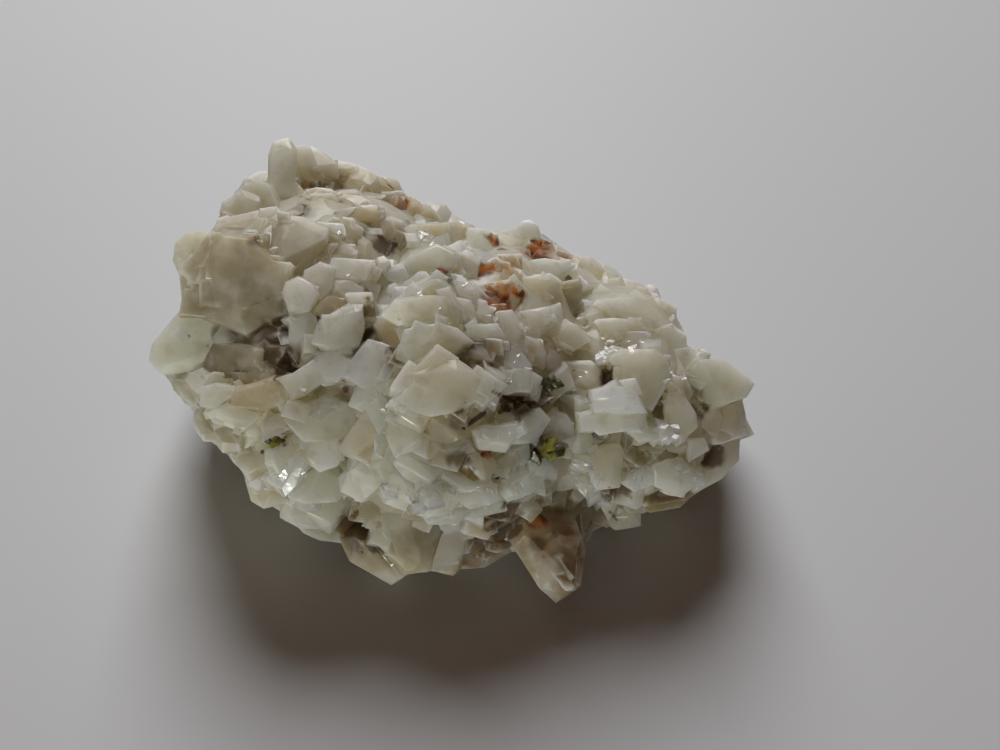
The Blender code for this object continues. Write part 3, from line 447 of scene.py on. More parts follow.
# Rusty stains, and brown films that also carry painted shade in the valley right of A1 and in the deep gaps: place in
# the view, radius (units) and strength.
RUST = (
    (492, 241, 9, 1.0), (541, 251, 14, 1.0), (510, 263, 11, 1.0), (484, 270, 10, 0.9),
    (501, 298, 16, 0.8), (522, 290, 8, 0.7), (442, 272, 6, 0.8), (337, 178, 7, 0.2),
    (347, 389, 4, 0.4), (486, 453, 5, 0.9), (540, 522, 9, 0.9), (440, 571, 12, 0.3),
    (492, 548, 16, 0.2), (408, 204, 9, 0.4), (344, 381, 3, 0.5), (501, 246, 8, 0.5),
)
FILM_AND_SHADE = (
    (258, 300, 28, 0.28), (252, 328, 26, 0.30), (238, 346, 18, 0.25), (312, 200, 26, 0.34),
    (350, 202, 24, 0.34), (395, 222, 18, 0.18), (335, 172, 24, 0.26), (470, 262, 24, 0.18),
    (505, 530, 24, 0.45), (488, 548, 22, 0.40), (545, 540, 20, 0.25), (365, 556, 22, 0.25),
    (280, 358, 16, 1.0), (272, 330, 15, 0.8), (240, 364, 9, 0.5), (256, 241, 7, 0.9),
    (300, 210, 16, 0.6), (382, 246, 12, 0.9), (370, 232, 9, 0.6), (370, 307, 9, 0.8),
    (364, 335, 10, 0.45), (394, 354, 9, 0.6), (505, 518, 16, 1.0), (358, 535, 24, 0.9),
    (616, 491, 12, 0.8), (520, 404, 13, 0.9), (457, 459, 10, 0.7), (536, 545, 8, 0.8),
    (610, 374, 10, 0.6), (716, 456, 12, 0.9), (702, 411, 8, 0.7), (462, 420, 12, 0.6),
    (480, 354, 20, 0.4), (670, 498, 22, 0.5), (550, 560, 26, 0.25), (215, 345, 20, 0.3), (700, 400, 26, 0.25),
)

# Narrow dark gaps and edges, painted with brown film and painted shade: place in the view, radius and strength.
SLITS = (
    (531, 543, 4, 1.0), (537, 546, 4, 1.0), (542, 549, 4, 0.9), (494, 392, 4, 1.0), (499, 394, 4, 1.0),
    (505, 396, 4, 0.9), (696, 413, 3, 0.9), (702, 411, 4, 1.0), (709, 408, 3, 0.9), (727, 442, 3, 0.9),
    (721, 449, 4, 1.0), (715, 457, 5, 1.0), (709, 464, 4, 0.9), (465, 428, 3, 0.8), (474, 420, 4, 0.8),
    (484, 413, 3, 0.8), (189, 336, 4, 0.9), (254, 237, 3, 1.0), (257, 244, 4, 1.0), (344, 381, 4, 1.0),
    (554, 533, 3, 1.0), (300, 196, 5, 0.8), (310, 200, 4, 0.7), (378, 238, 5, 1.0), (388, 250, 6, 1.0),
    (396, 243, 4, 0.8), (364, 230, 4, 0.8), (368, 298, 4, 1.0), (370, 306, 4, 1.0), (371, 314, 4, 0.9),
    (318, 318, 3, 0.8), (319, 330, 3, 0.8), (609, 488, 4, 1.0), (616, 491, 5, 1.0), (624, 494, 5, 1.0),
    (631, 498, 4, 0.9), (594, 434, 4, 0.8), (604, 440, 4, 0.8), (610, 512, 4, 0.9), (617, 520, 4, 0.9),
    (586, 531, 4, 0.9), (591, 523, 4, 0.9), (504, 508, 6, 1.0), (512, 516, 7, 1.0), (498, 524, 8, 1.0),
    (486, 530, 8, 0.9), (520, 528, 7, 1.0), (508, 538, 9, 0.9), (494, 548, 9, 0.7), (350, 520, 6, 0.9),
    (357, 512, 4, 0.9), (362, 540, 8, 0.7), (224, 375, 6, 0.6), (208, 346, 5, 0.6), (232, 383, 5, 0.5),
    (252, 392, 5, 0.5), (262, 452, 4, 0.7), (284, 445, 4, 0.6), (500, 295, 4, 0.8), (488, 293, 4, 0.8),
    (512, 297, 4, 0.8), (523, 291, 4, 0.8), (474, 470, 4, 0.6), (497, 478, 4, 0.6), (670, 498, 6, 0.5),
    (676, 390, 3, 0.5), (560, 420, 3, 0.5), (640, 400, 3, 0.4), (574, 370, 3, 0.6), (544, 345, 3, 0.5),
)

# Small cleavage plates that catch the light: place in the view, spread, how many, size (mm).
GLINTS = (
    (588, 480, 13, 12, 1.2), (584, 470, 9, 5, 1.0), (600, 498, 9, 6, 1.0), (668, 432, 8, 6, 0.9),
    (583, 464, 2, 1, 1.5), (430, 496, 1, 1, 1.5), (413, 491, 4, 2, 0.7), (392, 490, 5, 2, 1.0), (451, 486, 3, 1, 0.8),
    (457, 435, 3, 2, 0.5), (484, 434, 7, 4, 0.5), (505, 432, 6, 3, 0.5), (607, 350, 12, 9, 0.6),
    (637, 345, 9, 5, 0.5), (671, 377, 5, 3, 0.5), (685, 379, 4, 2, 0.5), (682, 470, 5, 3, 0.6),
    (697, 475, 4, 2, 0.5), (633, 473, 6, 4, 0.6), (517, 360, 4, 2, 0.5), (509, 378, 4, 2, 0.4),
    (489, 318, 4, 2, 0.5), (463, 283, 4, 2, 0.5), (583, 373, 4, 2, 0.5), (492, 490, 4, 2, 0.5),
    (426, 240, 7, 4, 0.8), (416, 296, 8, 2, 0.5), (436, 310, 8, 1, 0.5), (330, 238, 10, 1, 0.5),
    (350, 262, 14, 1, 0.5), (312, 268, 10, 1, 0.6), (560, 345, 10, 1, 0.5), (300, 392, 14, 1, 0.6),
    (330, 400, 18, 2, 0.5), (372, 420, 16, 1, 0.5), (320, 470, 20, 2, 0.5), (400, 520, 20, 2, 0.5),
)

# Lamps: name, place, width and height, power and colour.
LIGHTS = (
    ("window", (-0.18, 0.35, 0.43), (0.34, 0.45), 2.85, (1.0, 0.995, 0.985)),
    ("fill", (-0.07, -0.745, 0.024), (0.6, 0.04), 3.0, (0.96, 1.0, 0.92)),
)


# ---------------------------------------------------------------- the oblique view
def seen_at(u, v, towards=0.0):
    """The point that shows at (u, v) in the view, this much nearer than the middle."""
    k = UNIT * (1 - towards / EYE)
    return MIDDLE + RIGHT * ((u - 500) * k) + UP * ((375 - v) * k) + TOWARDS * towards


def in_view(point):
    rel = point - MIDDLE
    k = UNIT * (1 - rel.dot(TOWARDS) / EYE)
    return 500 + rel.dot(RIGHT) / k, 375 - rel.dot(UP) / k


def on_plane(u, v, through, normal):
    eye = MIDDLE + TOWARDS * EYE
    line = seen_at(u, v) - eye
    return eye + line * ((through - eye).dot(normal) / line.dot(normal))


def inside_outline(u, v, outline):
    inside = False
    for (x1, y1), (x2, y2) in zip(outline, outline[1:] + outline[:1]):
        if (y1 > v) != (y2 > v) and u < (x2 - x1) * (v - y1) / (y2 - y1) + x1:
            inside = not inside
    return inside


def inside_silhouette(point):
    return inside_outline(*in_view(point), SILHOUETTE)


# ---------------------------------------------------------------- the lobes
def settled(uv, height):
    towards = 0.0
    for _ in range(20):
        towards += (height - seen_at(*uv, towards).z) / TOWARDS.z
    return seen_at(*uv, towards)


BODY = [(settled(uv, height), Vector(half)) for _, uv, height, half in LOBES]


def outside_body(point):
    """About how far a point is outside the lobes, and the way out."""
    best, way = 1e9, None
    for centre, half in BODY:
        rel = point - centre
        scaled = Vector((rel.x / half.x, rel.y / half.y, rel.z / half.z))
        gap = (scaled.length - 1) * min(half)
        if gap < best:
            best = gap
            way = Vector((scaled.x / half.x, scaled.y / half.y, scaled.z / half.z))
    return best, way.normalized()


def seat(u, v):
    """Where the line of sight meets the lobes, or passes closest to them."""
    best, found = 1e9, 0.0
    for i in range(240):
        towards = 24 - 0.2 * i
        gap, _ = outside_body(seen_at(u, v, towards))
        if gap < 0:
            return towards
        if gap < best:
            best, found = gap, towards
    return found


# ---------------------------------------------------------------- colours of the crystals
# Base colours (linear) by kind, with how much they vary from crystal to crystal.
TINTS = {
    "v": (0.84, 0.835, 0.79),  # bright cleavage white, partly a painted highlight on facets that shine
    "w": (0.75, 0.74, 0.63),
    "l": (0.71, 0.70, 0.64),  # faint lavender
    "c": (0.71, 0.68, 0.535),  # cream
    "g": (0.655, 0.66, 0.54),  # grey-green
    "u": (0.65, 0.68, 0.58),  # pale blue-green
    "p": (0.70, 0.645, 0.53),  # pinkish
    "s": (0.39, 0.36, 0.25), "d": (0.36, 0.31, 0.20), "a": (0.43, 0.31, 0.17),  # grey-brown kinds, partly smoky stone and partly painted shade on crystals in shadow; a is amber
    "t": (0.60, 0.515, 0.34),  # tan
    "o": (0.26, 0.215, 0.10),  # olive, partly painted shade on facets turned from the light
    "b": (0.13, 0.088, 0.048),  # brown film, with painted shade in recesses and on undersides
    "r": (0.32, 0.17, 0.065),  # rusty
}


def tinted(kind, rng, spread=0.06):
    r, g, b = TINTS[kind]
    k = 1 + rng.uniform(-spread, spread)
    warm = rng.uniform(-0.5, 0.5) * spread
    return (
        min(0.9, r * k * (1 + warm)),
        min(0.9, g * k),
        min(0.9, b * k * (1 - 1.5 * warm)),
    )


def painted_light_shade_and_tan(colour, place):
    """Painted shade: crystals low on the specimen are darker and browner. Painted light: those of the right end and
    the lower left are a little paler. A few places are browner, partly tan and partly painted shade.
    """
    # painted shade: darker and browner towards the bottom
    x = min(1.0, max(0.0, (place.z - 1.0) / 12.0))
    u, v = in_view(place)
    # painted light: paler towards the right end and at the lower left
    pale = 1 + 0.09 * min(1.0, max(0.0, (u - 480) / 180))
    pale += 0.12 * math.exp(-(((u - 285) / 85) ** 2) - ((v - 445) / 60) ** 2)
    # browner patches, partly tan and partly painted shade: the hanging crystal, the top back and the valley right of
    # A1
    brown = 0.9 * math.exp(-(((u - 553) / 45) ** 2) - ((v - 572) / 40) ** 2)
    brown += 0.65 * math.exp(-(((u - 340) / 90) ** 2) - ((v - 185) / 34) ** 2)
    brown += 0.3 * math.exp(-(((u - 250) / 60) ** 2) - ((v - 290) / 60) ** 2)
    return tuple(
        min(0.92, pale * c * (k + (1 - k) * x) * (1 - brown * (1 - b)))
        for c, k, b in zip(colour, (0.38, 0.31, 0.205), (0.74, 0.60, 0.46))
    )


# ---------------------------------------------------------------- crystals
def corners_of(outline, most=8):
    """The few main corners of an outline: the crystal's real ones, not each small step."""
    order = convex_hull_2d([Vector(p) for p in outline])
    ring = [Vector(outline[i]) for i in order]
    whole = polygon_area(ring)
    while len(ring) > 4:
        sizes = [
            abs((ring[i] - ring[i - 1]).cross(ring[(i + 1) % len(ring)] - ring[i])) / 2
            for i in range(len(ring))
        ]
        i = min(range(len(ring)), key=lambda k: sizes[k])
        if len(ring) <= most and sizes[i] > 0.025 * whole:
            break
        ring.pop(i)
    middle = sum(ring, Vector((0, 0))) / len(ring)
    grow = math.sqrt(whole / max(polygon_area(ring), 1))
    return [middle + (p - middle) * grow for p in ring]


def clipped(ring, p, n):
    """The convex ring's part on the side of the line through p that n points to."""
    out = []
    for a, b in zip(ring, ring[1:] + ring[:1]):
        da, db = (a - p).dot(n), (b - p).dot(n)
        if da >= 0:
            out.append(a)
        if (da >= 0) != (db >= 0):
            out.append(a + (b - a) * (da / (da - db)))
    return out


def end_face(ring, rng, across, facets=2):
    """The ring cut in from its sides: a little everywhere, and far on a few sides."""
    middle = sum(ring, Vector((0, 0))) / len(ring)
    steep = set(rng.sample(range(len(ring)), min(facets, len(ring))))
    face = ring
    for i, (a, b) in enumerate(zip(ring, ring[1:] + ring[:1])):
        side = (b - a).normalized()
        n = Vector((-side.y, side.x))
        if (middle - a).dot(n) < 0:
            n = -n
        cut = across * (rng.uniform(0.16, 0.4) if i in steep else rng.uniform(0.01, 0.06))
        new = clipped(face, a + n * cut, n)
        if len(new) >= 3 and polygon_area(new) > 0.25 * polygon_area(ring):
            face = new
    return face


def polygon_area(ring):
    return abs(
        sum(a.x * b.y - b.x * a.y for a, b in zip(ring, ring[1:] + ring[:1])) / 2
    )


def outlined_crystal(outline, lift, rng, spread=1.08, low=0.9, facing=None, flat=False):
    """The corner points of a crystal that shows this outline in the view."""
    ring = corners_of(outline)
    middle = sum(ring, Vector((0, 0))) / len(ring)
    across = math.sqrt(polygon_area(ring))
    size = across * UNIT
    towards = seat(middle.x, middle.y) + 0.68 * lift + 0.2
    way = outside_body(seen_at(middle.x, middle.y, towards))[1]
    tilt = Vector([rng.uniform(-1, 1) for _ in range(3)])
    facing = facing or (TOWARDS + 0.45 * way + 0.25 * tilt).normalized()
    wide = [middle + (p - middle) * spread for p in ring]
    ring = [a if inside_outline(a.x, a.y, SILHOUETTE) else b for a, b in zip(wide, ring)]
    face = end_face(ring, rng, across)
    height = min(1.0, size * rng.uniform(0.1, 0.24))
    for _ in range(6):
        through = seen_at(middle.x, middle.y, towards)
        rim = [on_plane(p.x, p.y, through, facing) for p in ring]
        lowest = min(p.z for p in rim)
        if lowest >= low:
            break
        towards += (low - lowest) / TOWARDS.z
    top = [on_plane(p.x, p.y, through + facing * height, facing) for p in face]
    top = top if flat else ridged(top, facing, size, rng)
    into = (0.55 * TOWARDS + 0.45 * way).normalized()
    deep = max(2.6, min(6.0, 1.1 * size))
    root = through - into * (deep + 0.5 * abs(lift))
    for _ in range(30):
        gap, out = outside_body(root)
        if gap < -3.0:
            break
        root -= out * 0.5
    back = [root + (p - through) * 0.74 for p in rim]
    flare = rng.uniform(1.02, 1.2)
    drop = min(2.0, 0.35 * size + 0.4)
    skirt = [through - into * drop + (p - through) * flare for p in rim]
    skirt = [p for p in skirt if inside_silhouette(p) and p.z > 0.6]
    return top + rim + skirt + back, size, facing, through + facing * height * 0.6, rim


def ridged(top, facing, size, rng):
    """The end face bent over a ridge, so that two slanting faces meet instead of one flat one."""
    middle = sum(top, Vector((0, 0, 0))) / len(top)
    a = rng.randrange(len(top))
    along = (top[a] - middle).normalized()
    across = facing.cross(along)
    shift = rng.uniform(-0.25, 0.25) * size
    falls = (rng.uniform(0.12, 0.55), rng.uniform(0.04, 0.3))
    bent = []
    for p in top:
        d = (p - middle).dot(across) - shift
        bent.append(p - facing * abs(d) * (falls[0] if d > 0 else falls[1]))
    for end in (-1, 1):
        reach = max((p - middle).dot(along) * end for p in top)
        bent.append(middle + across * shift + along * (end * 0.8 * reach))
    return bent


def side_blocks(through, rim, facing, size, rng, bright=False):
    """Smaller crystals grown on the big one, nearly parallel to it, as steps along its sides."""
    side = (rim[1] - rim[0]).normalized()
    other = facing.cross(side)
    count = 4 if size < 3 else 8 if size < 4.5 else 14
    for _ in range(5 if bright else count):
        edge = rng.choice(rim)
        reach = rng.uniform(0.3, 0.95)
        centre = through + (edge - through) * reach
        a, b = size * rng.uniform(0.1, 0.3), size * rng.uniform(0.1, 0.3)
        height = rng.uniform(-0.15, 0.3) * min(1.0, size / 4)
        tilt = Vector([rng.uniform(-1, 1) for _ in range(3)])
        lean = (facing + rng.choice((0.1, 0.15, 0.45)) * tilt).normalized()
        shear = rng.uniform(-0.35, 0.35)
        points = []
        for z, k in ((height, rng.uniform(0.7, 0.95)), (-1.6, 1.1)):
            for x, y in ((-1, -1), (1, -1), (1, 1), (-1, 1)):
                points.append(
                    centre + side * (a * k * (x + shear * y)) + other * (b * k * y) + lean * z
                )
        if all(inside_silhouette(q) for q in points):
            yield points, max(a, b) * 2


def block_crystal(centre, out, rng, least, most, lean_by=0.5):
    """A sheared block whose end is cut by one or two slanting faces."""
    side = out.cross(Vector((0.3, 0.5, 0.8))).normalized()
    side = Matrix.Rotation(rng.uniform(0, math.tau), 3, out) @ side
    other = out.cross(side)
    lean = out + lean_by * rng.uniform(-1, 1) * side + lean_by * rng.uniform(-1, 1) * other
    lean.normalize()
    a, b = rng.uniform(least, most), rng.uniform(least, most) * 0.8
    c = rng.uniform(least, most) * 1.1
    shear = rng.uniform(0.15, 0.4) * rng.choice((-1, 1))
    ring = [
        Vector((0.5 * a * (x + shear * y), 0.5 * b * y))
        for x, y in ((-1, -1), (1, -1), (1, 1), (-1, 1))
    ]
    if rng.random() < 0.6:  # one corner cut, as the prism faces do
        i = rng.randrange(4)
        corner, mid = ring[i], Vector((0, 0))
        n = (mid - corner).normalized()
        ring = clipped(ring, corner + n * rng.uniform(0.2, 0.45) * min(a, b), n)
    face = end_face(ring, rng, math.sqrt(a * b), facets=rng.choice((1, 2, 2)))
    height = min(a, b) * rng.uniform(0.15, 0.4)
    points = [centre + side * p.x + other * p.y + lean * (0.5 * c) for p in face]
    points += [
        centre + side * p.x + other * p.y + lean * (0.5 * c - height) for p in ring
    ]
    points += [
        centre + 1.12 * (side * p.x + other * p.y) - lean * (0.5 * c) for p in ring
    ]
    return points


def chunk(points, size, rng):
    """The convex crystal round these points as a bmesh, with worn edges."""
    bm = bmesh.new()
    for p in points:
        bm.verts.new(p)
    bmesh.ops.convex_hull(bm, input=bm.verts)
    bmesh.ops.delete(bm, geom=[v for v in bm.verts if not v.link_faces], context="VERTS")
    bmesh.ops.dissolve_limit(bm, angle_limit=math.radians(2), verts=bm.verts, edges=bm.edges)
    if size > 2.4:
        bmesh.ops.bevel(
            bm,
            geom=bm.edges[:],
            offset=min(0.09, 0.02 * size),
            segments=1,
            profile=0.5,
            affect="EDGES",
            clamp_overlap=True,
        )
    bmesh.ops.triangulate(bm, faces=bm.faces[:])
    return bm


class Gathered:
    """Crystals waiting to be joined, each an object in one collection."""

    def __init__(self, name):
        self.collection = bpy.data.collections.new(name)
        bpy.context.scene.collection.children.link(self.collection)
        self.count = 0

    def add(self, bm, colour, grain, milk=1.0):
        mesh = bpy.data.meshes.new("crystal")
        bmesh.ops.scale(bm, vec=(MM, MM, MM), verts=bm.verts)
        bm.to_mesh(mesh)
        bm.free()
        n = len(mesh.polygons)
        tint = mesh.attributes.new("tint", "FLOAT_COLOR", "FACE")
        tint.data.foreach_set("color", np.tile((*colour, milk), n))
        cleave = mesh.attributes.new("grain", "FLOAT_VECTOR", "FACE")
        cleave.data.foreach_set("vector", np.tile(tuple(grain), n))
        obj = bpy.data.objects.new("crystal", mesh)
        self.collection.objects.link(obj)
        self.count += 1
        return obj

    def joined(self):
        """All of the crystals as one object: neighbours are joined two by two."""
        level = list(self.collection.objects)
        while len(level) > 1:
            kept = level[0 : len(level) - 1 : 2]
            for a, b in zip(kept, level[1::2]):
                mod = a.modifiers.new("Join", "BOOLEAN")
                mod.operation, mod.solver, mod.object = "UNION", "MANIFOLD", b
            graph = bpy.context.evaluated_depsgraph_get()
            meshes = [bpy.data.meshes.new_from_object(o.evaluated_get(graph)) for o in kept]
            for obj, mesh in zip(kept, meshes):
                obj.modifiers.clear()
                obj.data = mesh
            for other in level[1::2]:
                self.collection.objects.unlink(other)
                bpy.data.objects.remove(other)
            level = kept + (level[-1:] if len(level) % 2 else [])
        self.collection.objects.unlink(level[0])
        return level[0]

    def clear(self):
        for obj in list(self.collection.objects):
            mesh = obj.data
            bpy.data.objects.remove(obj)
            bpy.data.meshes.remove(mesh)
        bpy.data.collections.remove(self.collection)


def boolean(obj, operation, other=None, collection=None, solver="MANIFOLD"):
    mod = obj.modifiers.new(operation.title(), "BOOLEAN")
    mod.operation = operation
    mod.solver = solver
    if collection:
        mod.operand_type = "COLLECTION"
        mod.collection = collection
    else:
        mod.object = other


def made_real(obj):
    graph = bpy.context.evaluated_depsgraph_get()
    mesh = bpy.data.meshes.new_from_object(obj.evaluated_get(graph))
    obj.modifiers.clear()
    obj.data = mesh
    return mesh


def massive(p):
    """1 where the crystals have grown together into a nearly even surface, 0 elsewhere."""
    u, v = in_view(p)
    if (p - MIDDLE).dot(TOWARDS) < -2:
        return 0.0
    right = math.exp(-(((u - 625) / 80) ** 2) - ((v - 300) / 55) ** 2)
    top = math.exp(-(((u - 345) / 75) ** 2) - ((v - 205) / 35) ** 2)
    return 1.4 * right + 0.3 * top


def lobe_mesh(centre, half, rng):
    """A lobe of massive albite with an uneven, broken surface."""
    bm = bmesh.new()
    bmesh.ops.create_icosphere(bm, subdivisions=4, radius=1.0)
    for v in bm.verts:
        p = centre + Vector([c * h for c, h in zip(v.co, half)])
        out = v.co.normalized()
        bump = noise.noise(p * 0.35) * 0.7 + noise.noise(p * 0.9) * 0.4
        p = p + out * (0.7 * bump - 0.25 + 0.6 * massive(p))
        for _ in range(12):
            if inside_silhouette(p + out * room(out)):
                break
            p -= out * 0.3
        v.co = p
    return bm


def room(out):
    """How far the massive albite stays inside the silhouette, so that crystals can stand on it."""
    return 0.45 + 0.75 * min(1.0, max(0.0, -3 * out.dot(TOWARDS)))


def nearest_kind(u, v):
    best, kind = 1e9, "g"
    for _, k, _, outline, middle in CENTRES:
        d = (middle[0] - u) ** 2 + (middle[1] - v) ** 2
        if d < best:
            best, kind = d, k
    return kind


CENTRES = [
    (
        name,
        kind,
        lift,
        outline,
        (
            sum(p[0] for p in outline) / len(outline),
            sum(p[1] for p in outline) / len(outline),
        ),
    )
    for name, kind, lift, outline in CRYSTALS
]


def spiral(centre, half, count, phase=0.0):
    for i in range(count):
        z = 1 - 2 * (i + 0.5) / count
        angle = i * math.pi * (3 - math.sqrt(5)) + phase
        ring = math.sqrt(1 - z * z)
        yield centre + Vector(
            (half.x * ring * math.cos(angle), half.y * ring * math.sin(angle), half.z * z)
        )


def pulled_inside(points, heart, tries=16):
    """The crystal shrunk towards the body until none of it stands outside the silhouette."""
    for _ in range(tries):
        if all(inside_silhouette(q) for q in points):
            return points
        points = [heart + (q - heart) * 0.93 for q in points]
    return None


def hidden_crystals(gather, rng, spacing, size, sink, kinds, limit=0.16, seed_phase=0.0):
    """Crystals over the sides that the outlines leave out."""
    placed = []
    for index, (centre, half) in enumerate(BODY):
        area = 4 * math.pi * ((half.x * half.y * half.z) ** (1 / 3)) ** 2
        count = int(2.4 * area / spacing**2)
        for p in spiral(centre, half, count, index + seed_phase):
            p = p + Vector([rng.uniform(-0.25, 0.25) * spacing for _ in range(3)])
            gap, out = outside_body(p)
            p = p - out * gap
            gap, out = outside_body(p)
            if gap < -0.3 or p.z < -0.6 or out.z < -0.93 or out.dot(TOWARDS) > limit:
                continue
            for _ in range(12):
                if inside_silhouette(p + out * room(out)):
                    break
                p = p - out * 0.3
            if any((p - q).length < spacing for q in placed):
                continue
            s = rng.uniform(*size)
            points = block_crystal(p - out * rng.uniform(*sink), out, rng, s * 0.65, s)
            points = pulled_inside(points, p - out * 2.2)
            if points is None:
                continue
            placed.append(p)
            gather.add(
                chunk(points, s, rng),
                painted_light_shade_and_tan(tinted(rng.choice(kinds), rng, 0.08), p),
                Vector([rng.uniform(-1, 1) for _ in range(3)]).normalized(),
                rng.uniform(0.6, 1.0),
            )
    return placed


def front_fill(gather, rng):
    """Crystals in the gaps between the outlined ones, of much the same colours."""
    step = 17
    for v in range(145, 600, step):
        for u in range(150, 756, step):
            uu, vv = u + rng.uniform(-8, 8), v + rng.uniform(-8, 8)
            if not inside_outline(uu, vv, SILHOUETTE):
                continue
            if any(math.hypot(uu - a, vv - b) < r for a, b, r in PITS):
                continue
            towards = seat(uu, vv)
            p = seen_at(uu, vv, towards)
            out = outside_body(p)[1]
            s = rng.uniform(1.5, 3.6)
            tilt = Vector([rng.uniform(-1, 1) for _ in range(3)])
            way = (out + 0.5 * TOWARDS + 0.55 * tilt).normalized()
            points = block_crystal(p - way * (0.55 * s - rng.uniform(-0.1, 0.7)), way, rng, 0.6 * s, s)
            points = pulled_inside(points, p - out * 1.5)
            if points is None or min(q.z for q in points) < 0.2:
                continue
            gather.add(
                chunk(points, s, rng),
                painted_light_shade_and_tan(tinted(nearest_kind(uu, vv), rng, 0.07), p),
                Vector([rng.uniform(-1, 1) for _ in range(3)]).normalized(),
                rng.uniform(0.6, 1.0),
            )


def rim_fill(gather, rng):
    """Small crystals along the edge of the specimen as it is seen from the front."""
    middle_u = sum(p[0] for p in SILHOUETTE) / len(SILHOUETTE)
    middle_v = sum(p[1] for p in SILHOUETTE) / len(SILHOUETTE)
    ends = SILHOUETTE[1:] + SILHOUETTE[:1]
    for (u1, v1), (u2, v2) in zip(SILHOUETTE, ends):
        steps = max(1, round(math.hypot(u2 - u1, v2 - v1) / 11))
        for i in range(steps):
            x = (i + 0.5) / steps
            u, v = u1 + (u2 - u1) * x, v1 + (v2 - v1) * x
            far = math.hypot(middle_u - u, middle_v - v)
            inset = rng.uniform(5, 17)
            uu, vv = u + (middle_u - u) * inset / far, v + (middle_v - v) * inset / far
            if not inside_outline(uu, vv, SILHOUETTE):
                continue
            lower_left = u < 330 and v > 380
            if not lower_left and rng.random() < 0.2:
                continue
            p = seen_at(uu, vv, seat(uu, vv) + rng.uniform(-2.5, 0.0))
            out = outside_body(p)[1]
            s = rng.uniform(1.7, 3.2)
            tilt = Vector([rng.uniform(-1, 1) for _ in range(3)])
            way = (out + 0.4 * TOWARDS + 0.5 * tilt).normalized()
            points = block_crystal(p - way * (0.4 * s), way, rng, 0.6 * s, s)
            points = pulled_inside(points, p - out * 2.0)
            if points is None or min(q.z for q in points) < 0.2:
                continue
            kind = rng.choice("ctgcgl") if lower_left else nearest_kind(uu, vv)
            gather.add(
                chunk(points, s, rng),
                painted_light_shade_and_tan(tinted(kind, rng, 0.07), p),
                Vector([rng.uniform(-1, 1) for _ in range(3)]).normalized(),
                rng.uniform(0.6, 1.0),
            )


def plate(centre, way, size, rng):
    """A thin sheared plate with one flat face across the given direction."""
    side = Matrix.Rotation(rng.uniform(0, math.tau), 3, way) @ way.orthogonal().normalized()
    other = way.cross(side)
    turns = sorted(rng.uniform(-0.4, 0.4) + math.tau * i / 4 for i in range(4))
    narrow = rng.uniform(0.35, 0.8)
    ring = [(side * math.cos(a) + other * math.sin(a) * narrow) * 0.62 * size for a in turns]
    slant = side * rng.uniform(-0.15, 0.15) * size
    top = [centre + way * (0.16 * size) + p for p in ring]
    return top + [centre - way * (0.4 * size) + 1.15 * p + slant for p in ring]


def with_glints(cluster, rng):
    """Tiny cleavage plates whose faces catch the light, joined to the cluster."""
    mesh = cluster.data
    tree = BVHTree.FromPolygons(
        [v.co.copy() for v in mesh.vertices], [tuple(f.vertices) for f in mesh.polygons]
    )
    eye = MIDDLE + TOWARDS * EYE
    window = Vector(LIGHTS[0][1]).normalized()
    gather = Gathered("glints")
    bpy.context.scene.collection.objects.unlink(cluster)
    gather.collection.objects.link(cluster)
    for u, v, spread, count, size in GLINTS:
        for _ in range(count):
            uu = u + rng.uniform(-spread, spread)
            vv = v + rng.uniform(-spread, spread)
            hit = tree.ray_cast(eye * MM, (seen_at(uu, vv) - eye).normalized())[0]
            if hit is None:
                continue
            tilt = Vector([rng.uniform(-1, 1) for _ in range(3)])
            way = (TOWARDS + window + 0.12 * tilt).normalized()
            s = size * rng.uniform(0.45, 1.15)
            points = plate(hit / MM, way, s, rng)
            # the plates take the bright cleavage white: partly their own colour, partly a painted highlight
            gather.add(chunk(points, s, rng), tinted("v", rng, 0.05), way, 0.0)
    cluster = gather.joined()
    bpy.context.scene.collection.objects.link(cluster)
    gather.clear()
    return cluster


